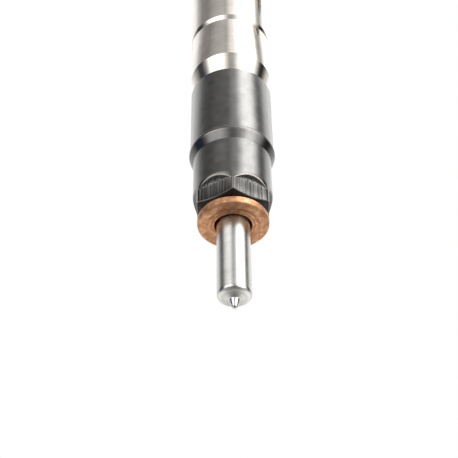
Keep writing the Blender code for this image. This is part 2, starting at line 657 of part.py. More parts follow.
# Control piston: pushes the needle shut while the control chamber is pressurised
piston_top = control_chamber_top - CONTROL_CHAMBER_HEIGHT
piston_bottom = journal_top + GAP
turned("control_piston", [
    (0.0, piston_bottom), (PISTON_STEM_RADIUS - 0.3, piston_bottom),
    (PISTON_STEM_RADIUS, piston_bottom + 0.3),
    (PISTON_STEM_RADIUS, piston_top - PISTON_GUIDE_LENGTH - 0.5),
    (PISTON_GUIDE_RADIUS, piston_top - PISTON_GUIDE_LENGTH),
    (PISTON_GUIDE_RADIUS, piston_top - SMALL_EDGE),
    (PISTON_GUIDE_RADIUS - SMALL_EDGE, piston_top),
    (0.0, piston_top)], tool_steel)

# High-pressure seal ring and valve body with its two throttles and ball seat
ring("high_pressure_seal_ring", piston_bore + GAP, SNOUT_RADIUS, seal_ring_bottom,
     seal_ring_bottom + SEAL_RING_THICKNESS, tin_plate)
control_bore = PISTON_GUIDE_RADIUS + RUN
seat_floor = valve_top - (BALL_SEAT_RADIUS - OUT_THROTTLE_RADIUS)
valve_body = turned("valve_body", [
    (control_bore, snout_bottom), (SNOUT_RADIUS - 0.3, snout_bottom),
    (SNOUT_RADIUS, snout_bottom + 0.3), (SNOUT_RADIUS, valve_flange_bottom),
    (VALVE_FLANGE_RADIUS, valve_flange_bottom), (VALVE_FLANGE_RADIUS, valve_top - 0.3),
    (VALVE_FLANGE_RADIUS - 0.3, valve_top), (BALL_SEAT_RADIUS, valve_top),
    (OUT_THROTTLE_RADIUS, seat_floor), (OUT_THROTTLE_RADIUS, control_chamber_top),
    (control_bore, control_chamber_top)], tool_steel)
throttle_height = (piston_top + control_chamber_top) / 2 + 0.1
drill(valve_body, "in_throttle", IN_THROTTLE_RADIUS,
      (-control_bore + 0.5, 0, throttle_height), (-SNOUT_RADIUS - 0.5, 0, throttle_height), 8)

# Valve ball and the small guide that carries it
ball_outline = [(BALL_RADIUS * sin(a), ball_centre - BALL_RADIUS * cos(a))
                for a in (k * pi / 10 for k in range(11))]
ball_outline[0] = (0.0, ball_centre - BALL_RADIUS)
ball_outline[-1] = (0.0, ball_centre + BALL_RADIUS)
turned("valve_ball", ball_outline, tool_steel, TINY_ROUND)
pocket_radius = BALL_RADIUS + 0.1
pocket_top = ball_centre + BALL_RADIUS + 0.1
turned("ball_guide", [
    (0.0, pocket_top), (pocket_radius, pocket_top), (pocket_radius, ball_guide_bottom),
    (BALL_GUIDE_RADIUS, ball_guide_bottom), (BALL_GUIDE_RADIUS, ball_guide_top - SMALL_EDGE),
    (BALL_GUIDE_RADIUS - SMALL_EDGE, ball_guide_top), (0.0, ball_guide_top)],
    tool_steel, TINY_ROUND)

# Armature guide: flange with drain slots and holes, and a sleeve for the armature pin
guide_recess = BALL_GUIDE_RADIUS + 0.4
armature_guide = turned("armature_guide", [
    (guide_recess, guide_bottom), (VALVE_FLANGE_RADIUS, guide_bottom),
    (VALVE_FLANGE_RADIUS, guide_flange_top), (GUIDE_SLEEVE_RADIUS, guide_flange_top),
    (GUIDE_SLEEVE_RADIUS, guide_top - SMALL_EDGE),
    (GUIDE_SLEEVE_RADIUS - SMALL_EDGE, guide_top),
    (PIN_RADIUS + RUN, guide_top), (PIN_RADIUS + RUN, guide_recess_top),
    (guide_recess, guide_recess_top)], tool_steel)
slot_reach = drain_hole_reach + 0.8
slot_half = DRAIN_HOLE_RADIUS + 0.1
for name, reach_x, reach_y in (("x", slot_reach, slot_half), ("y", slot_half, slot_reach)):
    combine(armature_guide, place(f"drain_slot_{name}", block_mesh(
        (-reach_x, -reach_y, guide_bottom - 1), (reach_x, reach_y, guide_bottom + 0.8))))
for quarter in range(4):
    drill(armature_guide, f"drain_hole_{quarter + 1}", DRAIN_HOLE_RADIUS,
          round_the_axis(drain_hole_reach, 90 * quarter, guide_bottom + 0.4),
          round_the_axis(drain_hole_reach, 90 * quarter, guide_flange_top + 1), 10)

# Valve clamp nut: screws down on the guide and the valve body
clamp_nut = ring("valve_clamp_nut", clamp_nut_bore, VALVE_FLANGE_RADIUS, clamp_nut_bottom,
                 clamp_nut_top, tool_steel, 0.3)
across = VALVE_FLANGE_RADIUS + 1.0
for name, reach_x, reach_y in (("x", across, TOOL_SLOT_WIDTH / 2),
                               ("y", TOOL_SLOT_WIDTH / 2, across)):
    combine(clamp_nut, place(f"tool_slot_{name}", block_mesh(
        (-reach_x, -reach_y, clamp_nut_top - TOOL_SLOT_DEPTH),
        (reach_x, reach_y, clamp_nut_top + 1))))

# Armature: spring, plate and pin
coil_spring("armature_spring", armature_spring_radius, ARMATURE_SPRING_WIRE,
            ARMATURE_SPRING_TURNS, guide_flange_top + GAP, plate_bottom - GAP, spring_wire)
plate = ring("armature_plate", PIN_RADIUS + RUN, PLATE_RADIUS, plate_bottom, plate_top,
             soft_iron)
plate_hole_reach = (PIN_COLLAR_RADIUS + PLATE_RADIUS) / 2
for number in range(PLATE_HOLES):
    drill(plate, f"plate_hole_{number + 1}", DRAIN_HOLE_RADIUS,
          round_the_axis(plate_hole_reach, 60 * number + 30, plate_bottom - 1),
          round_the_axis(plate_hole_reach, 60 * number + 30, plate_top + 1), 10)
pin_top = pin_collar_top + PIN_TOP_LENGTH
turned("armature_pin", [
    (0.0, pin_bottom), (PIN_RADIUS - SMALL_EDGE, pin_bottom),
    (PIN_RADIUS, pin_bottom + SMALL_EDGE),
    (PIN_RADIUS, pin_collar_bottom), (PIN_COLLAR_RADIUS, pin_collar_bottom),
    (PIN_COLLAR_RADIUS, pin_collar_top), (PIN_TOP_RADIUS, pin_collar_top),
    (PIN_TOP_RADIUS, pin_top - SMALL_EDGE), (PIN_TOP_RADIUS - SMALL_EDGE, pin_top),
    (0.0, pin_top)],
    tool_steel)

# Lift shim, magnet core with its coil, valve spring and spring shim
ring("lift_shim", clamp_nut_bore + 0.2, VALVE_FLANGE_RADIUS, lift_shim_bottom,
     lift_shim_bottom + LIFT_SHIM_THICKNESS, tool_steel)
magnet_core = turned("magnet_core", [
    (CORE_BORE_RADIUS, core_bottom), (coil_inner, core_bottom), (coil_inner, coil_roof),
    (coil_outer, coil_roof), (coil_outer, core_bottom), (core_radius, core_bottom),
    (core_radius, core_top - 0.3), (core_radius - 0.3, core_top), (CORE_BORE_RADIUS, core_top)],
    soft_iron)
bobbin_bottom = core_bottom + GAP
bobbin_top = coil_roof - GAP
bobbin_inner = coil_inner + GAP
bobbin_outer = coil_outer - GAP
winding_inner = bobbin_inner + BOBBIN_WALL + GAP
turned("coil_bobbin", [
    (bobbin_inner, bobbin_bottom), (bobbin_outer, bobbin_bottom),
    (bobbin_outer, bobbin_bottom + BOBBIN_FLANGE),
    (bobbin_inner + BOBBIN_WALL, bobbin_bottom + BOBBIN_FLANGE),
    (bobbin_inner + BOBBIN_WALL, bobbin_top - BOBBIN_FLANGE),
    (bobbin_outer, bobbin_top - BOBBIN_FLANGE), (bobbin_outer, bobbin_top),
    (bobbin_inner, bobbin_top)], bobbin_plastic)
ring("coil_winding", winding_inner, bobbin_outer - 0.1, bobbin_bottom + BOBBIN_FLANGE + GAP,
     bobbin_top - BOBBIN_FLANGE - GAP, enamelled_wire)
valve_shim_bottom = core_top
valve_shim_top = valve_shim_bottom + VALVE_SPRING_SHIM_THICKNESS
coil_spring("valve_spring", valve_spring_radius, VALVE_SPRING_WIRE, VALVE_SPRING_TURNS,
            pin_collar_top + GAP, valve_shim_bottom - GAP, spring_wire)
ring("valve_spring_shim", DRAIN_RADIUS - 0.3, CORE_BORE_RADIUS - GAP, valve_shim_bottom,
     valve_shim_top, tool_steel)

# Solenoid nut: hexagon cap nut that clamps the connector's flange on the body
hex_reach = SOLENOID_NUT_FLATS / 2 / cos(pi / 6) - 0.1
hex_top = solenoid_nut_bottom + SOLENOID_NUT_HEX_HEIGHT
lip_bore = NECK_RADIUS + GAP
hex_chamfer = (hex_reach - SOLENOID_NUT_FLATS / 2 + 0.3) * tan(radians(30))
solenoid_nut = turned("solenoid_nut", [
    (solenoid_nut_bore, solenoid_nut_bottom),
    (SOLENOID_NUT_FLATS / 2 - 0.3, solenoid_nut_bottom),
    (hex_reach, solenoid_nut_bottom + hex_chamfer), (hex_reach, hex_top - hex_chamfer),
    (SOLENOID_NUT_FLATS / 2 - 0.3, hex_top), (solenoid_nut_radius, hex_top),
    (solenoid_nut_radius, solenoid_nut_top - EDGE), (solenoid_nut_radius - EDGE, solenoid_nut_top),
    (lip_bore, solenoid_nut_top), (lip_bore, flange_top + GAP),
    (solenoid_nut_bore, flange_top + GAP)], bright_body, ROUND)
combine(solenoid_nut, hex_trimmer("solenoid_nut_flats", SOLENOID_NUT_FLATS,
                                  solenoid_nut_bottom - 1.0, hex_top, hex_reach + 3.0))

# Connector housing: moulded flange, neck and a two-way socket, with the drain through it
groove_middle = housing_bottom + FLANGE_THICKNESS / 2
groove_half = O_RING_WIRE / 2 + 0.25
groove_floor = solenoid_nut_bore - GAP - O_RING_WIRE - GAP
shim_recess_top = valve_shim_top + GAP
housing = turned("connector_housing", [
    (CORE_BORE_RADIUS, housing_bottom), (FLANGE_RADIUS, housing_bottom),
    (FLANGE_RADIUS, groove_middle - groove_half), (groove_floor, groove_middle - groove_half),
    (groove_floor, groove_middle + groove_half), (FLANGE_RADIUS, groove_middle + groove_half),
    (FLANGE_RADIUS, flange_top), (NECK_RADIUS, flange_top), (NECK_RADIUS, tower_top - TOWER_EDGE),
    (NECK_RADIUS - TOWER_EDGE, tower_top), (NIPPLE_RADIUS + GAP, tower_top),
    (NIPPLE_RADIUS + GAP, tower_top - NIPPLE_DEPTH - GAP),
    (DRAIN_RADIUS, tower_top - NIPPLE_DEPTH - GAP), (DRAIN_RADIUS, shim_recess_top),
    (CORE_BORE_RADIUS, shim_recess_top)], black_plastic, ROUND)
shell_y = SOCKET_WIDTH / 2 + SOCKET_WALL
shell_z = SOCKET_HEIGHT / 2 + SOCKET_WALL
socket_floor = -SOCKET_REACH + SOCKET_LENGTH
shell_blank = place("socket_shell_blank", block_mesh(
    (-SOCKET_REACH, -shell_y, socket_middle - shell_z),
    (-NIPPLE_RADIUS - 1.5, shell_y, socket_middle + shell_z)))
combine(housing, shell_blank, "UNION")
combine(housing, place("socket_hollow", block_mesh(
    (-SOCKET_REACH - 1, -SOCKET_WIDTH / 2, socket_middle - SOCKET_HEIGHT / 2),
    (socket_floor, SOCKET_WIDTH / 2, socket_middle + SOCKET_HEIGHT / 2))))
latch_start = -SOCKET_REACH + LATCH_INSET
latch = place("latch_blank", block_mesh(
    (latch_start, -LATCH_WIDTH / 2, socket_middle - shell_z - LATCH_HEIGHT),
    (latch_start + LATCH_LENGTH, LATCH_WIDTH / 2, socket_middle - shell_z + 0.5)))
combine(housing, latch, "UNION")

# Terminals: from the coil up through the housing and out into the socket
leg_bottom = bobbin_top + GAP
for number, side in ((1, -1), (2, 1)):
    middle_y = side * TERMINAL_SPACING / 2
    half_y = TERMINAL_THICKNESS / 2
    low_z = socket_middle - TERMINAL_HEIGHT / 2
    high_z = socket_middle + TERMINAL_HEIGHT / 2
    left = -terminal_leg_x - TERMINAL_LEG_WIDTH / 2
    right = -terminal_leg_x + TERMINAL_LEG_WIDTH / 2
    tip_x = -SOCKET_REACH + TERMINAL_INSET
    shape = [(tip_x, low_z), (left, low_z), (left, leg_bottom), (right, leg_bottom),
             (right, high_z), (tip_x, high_z)]
    bm = prism_mesh([(x, z) for x, z in shape], -half_y, half_y)
    bmesh.ops.rotate(bm, cent=(0, 0, 0), matrix=Matrix.Rotation(pi / 2, 3, "X"), verts=bm.verts)
    bmesh.ops.translate(bm, vec=(0, middle_y, 0), verts=bm.verts)
    place(f"terminal_{number}", bm, tin_plate)
    wall_y = half_y + GAP
    combine(housing, place(f"terminal_leg_way_{number}", block_mesh(
        (left - GAP, middle_y - wall_y, housing_bottom - 1),
        (right + GAP, middle_y + wall_y, high_z + GAP))))
    combine(housing, place(f"terminal_blade_way_{number}", block_mesh(
        (socket_floor - 0.5, middle_y - wall_y, low_z - GAP),
        (left, middle_y + wall_y, high_z + GAP))))
    combine(magnet_core, place(f"core_leg_way_{number}", block_mesh(
        (left - GAP, middle_y - wall_y, coil_roof - 0.5),
        (right + GAP, middle_y + wall_y, core_top + 1))))

o_ring("connector_o_ring", solenoid_nut_bore - GAP - O_RING_WIRE / 2, O_RING_WIRE,
       groove_middle, black_rubber)

# Return nipple: leads the leaked fuel away, sealed in the housing by a small ring
nipple_bottom = tower_top - NIPPLE_DEPTH
nipple_flange_bottom = tower_top + GAP
nipple_flange_top = nipple_flange_bottom + NIPPLE_FLANGE_THICKNESS
nipple_top = nipple_flange_top + NIPPLE_LENGTH
nipple_barb = nipple_top - NIPPLE_BARB_LENGTH
nipple_groove = nipple_bottom + NIPPLE_GROOVE_RISE
nipple_groove_half = NIPPLE_O_RING_WIRE / 2 + 0.15
nipple_ring_radius = NIPPLE_RADIUS + GAP - 0.1 - NIPPLE_O_RING_WIRE / 2
nipple_groove_floor = nipple_ring_radius - NIPPLE_O_RING_WIRE / 2 - 0.1
turned("return_nipple", [
    (NIPPLE_BORE_RADIUS, nipple_bottom), (NIPPLE_RADIUS - 0.3, nipple_bottom),
    (NIPPLE_RADIUS, nipple_bottom + 0.3), (NIPPLE_RADIUS, nipple_groove - nipple_groove_half),
    (nipple_groove_floor, nipple_groove - nipple_groove_half),
    (nipple_groove_floor, nipple_groove + nipple_groove_half),
    (NIPPLE_RADIUS, nipple_groove + nipple_groove_half), (NIPPLE_RADIUS, nipple_flange_bottom),
    (NIPPLE_FLANGE_RADIUS, nipple_flange_bottom), (NIPPLE_FLANGE_RADIUS, nipple_flange_top),
    (NIPPLE_TUBE_RADIUS, nipple_flange_top), (NIPPLE_TUBE_RADIUS, nipple_barb),
    (NIPPLE_BARB_RADIUS, nipple_barb), (NIPPLE_BARB_RADIUS, nipple_barb + NIPPLE_BARB_LAND),
    (NIPPLE_TUBE_RADIUS, nipple_top), (NIPPLE_BORE_RADIUS, nipple_top)], tin_plate)
o_ring("return_o_ring", nipple_ring_radius, NIPPLE_O_RING_WIRE, nipple_groove, black_rubber)

# Inlet connector: screws into the boss, with a pipe thread and a 60 degree cone outside
hex_start = BOSS_REACH + GAP + INLET_SEAL_THICKNESS + GAP
hex_end = hex_start + INLET_HEX_LENGTH
inlet_thread_start = hex_end + INLET_NECK_LENGTH
inlet_end = inlet_thread_start + INLET_PIPE_THREAD_LENGTH
inlet_hex_reach = INLET_FLATS / 2 / cos(pi / 6) - 0.1
cone_depth = (INLET_CONE_RADIUS - inlet_bore) / tan(radians(30))
filter_start = inlet_nose + 4.0
inlet = turned_sideways("inlet_connector", [
    (1.0, inlet_nose), (INLET_THREAD_RADIUS - 1.0, inlet_nose),
    (INLET_THREAD_RADIUS, inlet_nose + 1.0), (INLET_THREAD_RADIUS, hex_start),
    (inlet_hex_reach, hex_start), (inlet_hex_reach, hex_end - 0.5),
    (INLET_FLATS / 2 - 0.2, hex_end), (INLET_NECK_RADIUS, hex_end),
    (INLET_NECK_RADIUS, inlet_thread_start),
    (INLET_PIPE_THREAD_RADIUS, inlet_thread_start + 0.8),
    (INLET_PIPE_THREAD_RADIUS, inlet_end - 1.0), (INLET_PIPE_THREAD_RADIUS - 1.0, inlet_end),
    (INLET_CONE_RADIUS, inlet_end), (inlet_bore, inlet_end - cone_depth),
    (inlet_bore, filter_start - GAP), (1.0, filter_start - GAP - 0.8)], bright_body, ROUND)
trimmer = hex_trimmer("inlet_flats", INLET_FLATS, hex_start - 0.1, hex_end + 0.1,
                      inlet_hex_reach + 3.0)
trimmer.rotation_euler.y = pi / 2
trimmer.location.z = inlet_height * MM
combine(inlet, trimmer)
seal_start = BOSS_REACH + GAP
seal_end = seal_start + INLET_SEAL_THICKNESS
turned_sideways("inlet_seal", [
    (INLET_THREAD_RADIUS + GAP, seal_start), (INLET_SEAL_RADIUS, seal_start),
    (INLET_SEAL_RADIUS, seal_end), (INLET_THREAD_RADIUS + GAP, seal_end)], copper)

# Edge filter: fluted rod in the inlet's bore
flute_points = FILTER_FLUTES * 2
star = [((FILTER_RADIUS - FILTER_FLUTE_DEPTH * (k % 2)) * cos(k * 2 * pi / flute_points),
         (FILTER_RADIUS - FILTER_FLUTE_DEPTH * (k % 2)) * sin(k * 2 * pi / flute_points))
        for k in range(flute_points)]
bm = prism_mesh(star, filter_start, filter_start + FILTER_LENGTH)
bmesh.ops.rotate(bm, cent=(0, 0, 0), matrix=Matrix.Rotation(pi / 2, 3, "Y"), verts=bm.verts)
edge_filter = place("edge_filter", bm, tool_steel)
edge_filter.location.z = inlet_height * MM
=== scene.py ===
"""The looks of a diesel fuel injector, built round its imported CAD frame.

The injector stands with its nozzle down. Sizes are in millimetres and are turned to metres
as each mesh is made; heights come from the frame's own boxes.
"""
from math import acos, atan2, cos, pi, radians, sin, tan

import bmesh
import bpy
from mathutils import Matrix, Vector, noise


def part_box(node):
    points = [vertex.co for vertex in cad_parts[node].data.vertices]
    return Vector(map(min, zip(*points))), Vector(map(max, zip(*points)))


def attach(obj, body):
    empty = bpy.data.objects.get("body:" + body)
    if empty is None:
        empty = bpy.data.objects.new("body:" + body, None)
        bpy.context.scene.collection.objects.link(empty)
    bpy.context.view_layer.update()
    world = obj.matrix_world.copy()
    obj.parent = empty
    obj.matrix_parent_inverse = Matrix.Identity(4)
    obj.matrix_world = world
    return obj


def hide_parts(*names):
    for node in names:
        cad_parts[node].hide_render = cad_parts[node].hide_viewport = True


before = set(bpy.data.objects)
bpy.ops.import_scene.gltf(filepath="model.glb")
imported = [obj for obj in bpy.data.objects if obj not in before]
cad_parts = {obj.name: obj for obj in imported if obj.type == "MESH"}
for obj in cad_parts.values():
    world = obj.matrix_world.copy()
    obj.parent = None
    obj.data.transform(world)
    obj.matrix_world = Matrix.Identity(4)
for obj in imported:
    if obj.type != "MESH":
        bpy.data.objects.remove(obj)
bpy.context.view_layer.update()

MM = 0.001


# ---------------------------------------------------------------------------------------
# Camera, floor and light. The view is from below and in front, up along the nozzle. The
# light is a studio tent with two soft panels and dark gaps between them, which give bright
# turned metal its upright bands. The camera sees white paper in place of the tent.
# ---------------------------------------------------------------------------------------
CAMERA_PLACE = (-0.90, -152.68, -129.93)
CAMERA_RISE = 40.26          # degrees above the horizon
CAMERA_ROLL = 0.82
CAMERA_LENS = 76.0
CAMERA_SENSOR = 36.0
CAMERA_NEAR = 0.01           # metres
CAMERA_FAR = 20.0
FLOOR_DROP = 210.0           # below the washer's face
FLOOR_SIZE = 3.0             # metres

scene = bpy.context.scene
scene.view_settings.view_transform = "Standard"

camera = bpy.data.objects.new("camera", bpy.data.cameras.new("camera"))
camera.data.lens = CAMERA_LENS
camera.data.sensor_width = CAMERA_SENSOR
camera.data.clip_start = CAMERA_NEAR
camera.data.clip_end = CAMERA_FAR
camera.matrix_world = (Matrix.Translation(Vector(CAMERA_PLACE) * MM)
                       @ Matrix.Rotation(radians(90 + CAMERA_RISE), 4, "X")
                       @ Matrix.Rotation(-radians(CAMERA_ROLL), 4, "Z"))
scene.collection.objects.link(camera)
scene.camera = camera


def fill_inputs(tree, node, links):
    """Link or fill a node's inputs, by name or number."""
    for name, value in links.items():
        socket = node.inputs[name]
        if isinstance(value, bpy.types.NodeSocket):
            tree.links.new(value, socket)
        else:
            socket.default_value = value


def add_node(tree, kind, links=None, **settings):
    """Add one shader node, set it up, and link or fill its inputs."""
    made = tree.nodes.new("ShaderNode" + kind)
    for name, value in settings.items():
        setattr(made, name, value)
    fill_inputs(tree, made, links or {})
    return made


def ramp(tree, value, stops):
    """Turn a value into a colour by stops: (position, grey) or (position, (r, g, b))."""
    made = add_node(tree, "ValToRGB", {"Fac": value})
    points = made.color_ramp.elements
    while len(points) > 1:
        points.remove(points[-1])
    for number, (place, tone) in enumerate(stops):
        colour = tone if isinstance(tone, tuple) else (tone, tone, tone)
        point = points[0] if number == 0 else points.new(place)
        point.position = place
        point.color = (*colour, 1.0)
    return made.outputs["Color"]


def linear(code):
    """An sRGB hex colour as linear red, green and blue."""
    parts = [int(code[i:i + 2], 16) / 255 for i in (1, 3, 5)]
    return tuple(c / 12.92 if c <= 0.04045 else ((c + 0.055) / 1.055) ** 2.4 for c in parts)


def tent_light():
    """The studio round the injector. Each ring of the tent is given by compass direction:
    0 is the front, where the camera leaves a dark gap, and + is towards +X."""
    world = bpy.data.worlds.new("studio tent")
    world.use_nodes = True
    tree = world.node_tree
    tree.nodes.clear()
    place = add_node(tree, "TexCoord")
    split = add_node(tree, "SeparateXYZ", {"Vector": place.outputs["Generated"]})
    front = add_node(tree, "Math", {0: split.outputs["Y"], 1: -1.0}, operation="MULTIPLY")
    bearing = add_node(tree, "Math", {0: split.outputs["X"], 1: front.outputs[0]},
                       operation="ARCTAN2")
    turn = add_node(tree, "MapRange", {"Value": bearing.outputs[0], "From Min": -pi,
                                       "From Max": pi})

    def ring(stops):
        """One ring of the tent: stops of (degrees from the front, brightness)."""
        return ramp(tree, turn.outputs[0], [((d + 180) / 360, b) for d, b in stops])

    def above(low, high, start, end):
        """Pass from one ring to the next between two elevations, in degrees."""
        rise = add_node(tree, "MapRange", {"Value": split.outputs["Z"],
                                           "From Min": sin(radians(start)),
                                           "From Max": sin(radians(end))},
                        interpolation_type="SMOOTHSTEP")
        return add_node(tree, "Mix", {"Factor": rise.outputs[0], 6: low, 7: high},
                        data_type="RGBA").outputs[2]

    blue_gap, brown_gap = (0.06, 0.08, 0.13), (0.09, 0.07, 0.06)
    nadir = ring([(-180, 0.3), (180, 0.3)])
    ground = ring([(-180, 1.15), (-120, 1.15), (-95, 0.6), (-20, 0.22), (0, 0.12), (20, 0.22),
                   (95, 0.6), (120, 1.15), (180, 1.15)])
    low = ring([(-180, 0.95), (-125, 0.9), (-110, 0.6), (-98, blue_gap), (-76, blue_gap),
                (-67, 0.4), (-56, 1.7), (-24, 2.0), (-14, 1.2), (-4, 0.45), (5, 0.45),
                (11, 0.7), (18, 1.2), (28, 2.2), (38, 4.2), (50, 4.2), (64, 1.9), (74, 0.9),
                (82, 0.3), (87, brown_gap), (101, brown_gap), (110, 0.4), (122, 0.8),
                (140, 0.95), (180, 0.95)])
    mid = ring([(-180, 0.95), (-123, 0.8), (-107, 0.4), (-92, 0.06), (-80, 0.06), (-66, 0.5),
                (-50, 1.1), (-36, 1.4), (-23, 1.3), (-14, 0.9), (-4, 0.36), (3, 0.38),
                (10, 0.78), (16, 1.3), (26, 2.7), (38, 4.2), (50, 4.2), (58, 1.7), (66, 1.3),
                (80, 0.2), (86, 0.03), (94, 0.03), (102, 0.2), (111, 0.6), (123, 0.9),
                (139, 1.1), (180, 0.95)])
    high = ring([(-180, 1.0), (-150, 1.2), (-124, 1.1), (-106, 0.55), (-90, 0.3),
                 (-67, 0.28), (-46, 0.46), (-20, 0.56), (-12, 0.5), (-6, 0.7), (0, 1.0),
                 (8, 1.15), (15, 1.4), (22, 2.4), (36, 5.0), (60, 5.0), (70, 3.5), (80, 1.4),
                 (86, 0.7), (92, 0.45), (100, 0.5), (108, 0.9), (119, 1.5), (150, 1.4),
                 (180, 1.0)])
    roof = ring([(-180, 0.9), (180, 0.9)])
    tent = nadir
    for upper, start, end in ((ground, -80, -50), (low, -18, -8), (mid, 24, 31),
                              (high, 36.5, 40), (roof, 64, 76)):
        tent = above(tent, upper, start, end)
    seen = add_node(tree, "LightPath")
    studio = add_node(tree, "Background", {"Color": tent})
    paper = add_node(tree, "Background", {"Color": (1, 1, 1, 1)})
    both = add_node(tree, "MixShader", {"Fac": seen.outputs["Is Camera Ray"],
                                        1: studio.outputs[0], 2: paper.outputs[0]})
    add_node(tree, "OutputWorld", {"Surface": both.outputs[0]})
    return world


scene.world = tent_light()


def new_material(name):
    """Start a material: itself, its node tree, its shader and the object's coordinates."""
    made = bpy.data.materials.new(name)
    made.use_nodes = True
    tree = made.node_tree
    place = add_node(tree, "TexCoord").outputs["Object"]
    return made, tree, tree.nodes["Principled BSDF"], place


def grain(tree, place, scale, detail, rough=0.5):
    """A noise texture's value, with its finer octaves weighted by rough."""
    return add_node(tree, "TexNoise", {"Vector": place, "Scale": scale, "Detail": detail,
                                       "Roughness": rough}).outputs["Fac"]


def pale_floor():
    """A broad sheet of white paper, far enough below to leave the view clear."""
    bm = bmesh.new()
    bmesh.ops.create_grid(bm, x_segments=1, y_segments=1, size=FLOOR_SIZE)
    mesh = bpy.data.meshes.new("floor")
    bm.to_mesh(mesh)
    bm.free()
    floor = bpy.data.objects.new("floor", mesh)
    floor.location.z = -FLOOR_DROP * MM
    scene.collection.objects.link(floor)
    paper, tree, shader, place = new_material("white paper")
    fibre = grain(tree, place, 40.0, 2.0)
    fill_inputs(tree, shader, {"Base Color": ramp(tree, fibre, [(0.3, 0.86), (0.7, 0.9)]),
                               "Roughness": 0.9})
    mesh.materials.append(paper)
    floor.visible_glossy = False


pale_floor()


# ---------------------------------------------------------------------------------------
# Nozzle body. Hardened steel, ground to 7 mm and polished by the grinding wheel, with a
# duller turned cone and a bright sac nub drilled with the spray holes. The nut clamps it.
# ---------------------------------------------------------------------------------------
NOZZLE_SIDES = 128
SHAFT_RADIUS = 3.5
NUB_RADIUS = 0.72
NUB_BASE = 1.12
NUB_HEIGHT = 2.1
CONE_ANGLE = radians(76)     # between the cone and the axis
CONE_HEIGHT = (SHAFT_RADIUS - NUB_BASE) / tan(CONE_ANGLE)
TIP_EDGE = 0.8               # how far the polished corner round the cone reaches
COLLAR_RADIUS = 7.15
COLLAR_HEIGHT = 16.0
GUIDE_CLEARANCE = 0.08
STEM_SPACE = 1.75
GALLERY_RADIUS = 4.3
GALLERY_RISE = 3.5           # from the collar's foot to the gallery's
GALLERY_LEVELS = (0.8, 2.4, 3.2)   # its widest part's foot and top, and its own top
SAC_RADIUS = 0.45
SAC_HEIGHT = 0.6
SEAT_RISE = 0.25
SEAT_ANGLE = radians(30)     # between the needle's seat and the axis
SPRAY_HOLES = 6
SPRAY_HOLE_RADIUS = 0.09
SPRAY_START, SPRAY_END = 0.3, 1.7  # distances from the axis
SPRAY_RISE, SPRAY_DROP = 0.05, 0.4
SHARP_ANGLE = radians(32)    # edges that turn further stay sharp
STRAIGHT = radians(165)      # corners wider than this aren't eased
EASE_SHARE = 0.4             # most of a side that an eased corner may take
TINY = 1e-6
GLOSS_SPREAD = 1 / 6         # how far a metal's roughness strays, as a share of it
FINE_RELIEF = 0.00002        # metres


def heights(node):
    """Lowest and highest level of a CAD node, in millimetres."""
    low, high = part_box(node)
    return low.z / MM, high.z / MM


def half_width(node):
    """Half the width of a CAD node along X, in millimetres."""
    low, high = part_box(node)
    return (high.x - low.x) / 2 / MM


def eased(outline, radius, steps=3, closed=True):
    """Break the corners of an outline with small arcs, as a deburred edge has."""
    made = []
    count = len(outline)
    for i, here in enumerate(outline):
        ends = not closed and i in (0, count - 1)
        before = Vector(outline[i - 1])
        corner = Vector(here)
        after = Vector(outline[(i + 1) % count])
        back, on = before - corner, after - corner
        if ends or min(back.length, on.length) < TINY or back.angle(on) > STRAIGHT:
            made.append(tuple(here))
            continue
        cut = min(radius, back.length * EASE_SHARE, on.length * EASE_SHARE)
        start, end = corner + back.normalized() * cut, corner + on.normalized() * cut
        for k in range(steps + 1):
            t = k / steps
            point = start * (1 - t) ** 2 + corner * 2 * t * (1 - t) + end * t ** 2
            made.append(tuple(point))
    return made


def new_piece(name, bm, *materials):
    """Turn a bmesh in millimetres into a smooth-shaded object in metres."""
    bmesh.ops.scale(bm, vec=(MM, MM, MM), verts=bm.verts)
    bmesh.ops.remove_doubles(bm, verts=bm.verts, dist=1e-7)
    bmesh.ops.recalc_face_normals(bm, faces=bm.faces)
    mesh = bpy.data.meshes.new(name)
    bm.to_mesh(mesh)
    bm.free()
    mesh.shade_smooth()
    mesh.set_sharp_from_angle(angle=SHARP_ANGLE)
    piece = bpy.data.objects.new(name, mesh)
    scene.collection.objects.link(piece)
    for material in materials:
        mesh.materials.append(material)
    return piece


def lathe(outline, sides):
    """Spin (radius, height) points round the Z axis. Ends on the axis close the solid."""
    bm = bmesh.new()
    rings = []
    for r, z in outline:
        if r < TINY:
            rings.append([bm.verts.new((0, 0, z))])
        else:
            rings.append([bm.verts.new((r * cos(a), r * sin(a), z))
                          for a in (2 * pi * k / sides for k in range(sides))])
    pairs = list(zip(rings, rings[1:]))
    if len(rings[0]) > 1:
        pairs.append((rings[-1], rings[0]))
    for near, far in pairs:
        for k in range(sides):
            j = (k + 1) % sides
            if len(near) == 1:
                bm.faces.new((near[0], far[k], far[j]))
            elif len(far) == 1:
                bm.faces.new((near[k], near[j], far[0]))
            else:
                bm.faces.new((near[k], near[j], far[j], far[k]))
    return bm


def paint(piece, slot, chosen):
    """Give a material slot to the faces whose centre, in millimetres, passes a test."""
    for face in piece.data.polygons:
        if chosen(face.center / MM):
            face.material_index = slot


def cut_away(piece, tools, operation="DIFFERENCE"):
    """Apply a Boolean cut or weld with each tool, and remove the tools."""
    for tool in tools:
        step = piece.modifiers.new("cut", "BOOLEAN")
        step.operation = operation
        step.solver = "EXACT"
        step.object = tool
        bpy.context.view_layer.update()
        graph = bpy.context.evaluated_depsgraph_get()
        cut = bpy.data.meshes.new_from_object(piece.evaluated_get(graph))
        piece.modifiers.clear()
        piece.data = cut
        bpy.data.objects.remove(tool)
    piece.data.shade_smooth()
    piece.data.set_sharp_from_angle(angle=SHARP_ANGLE)


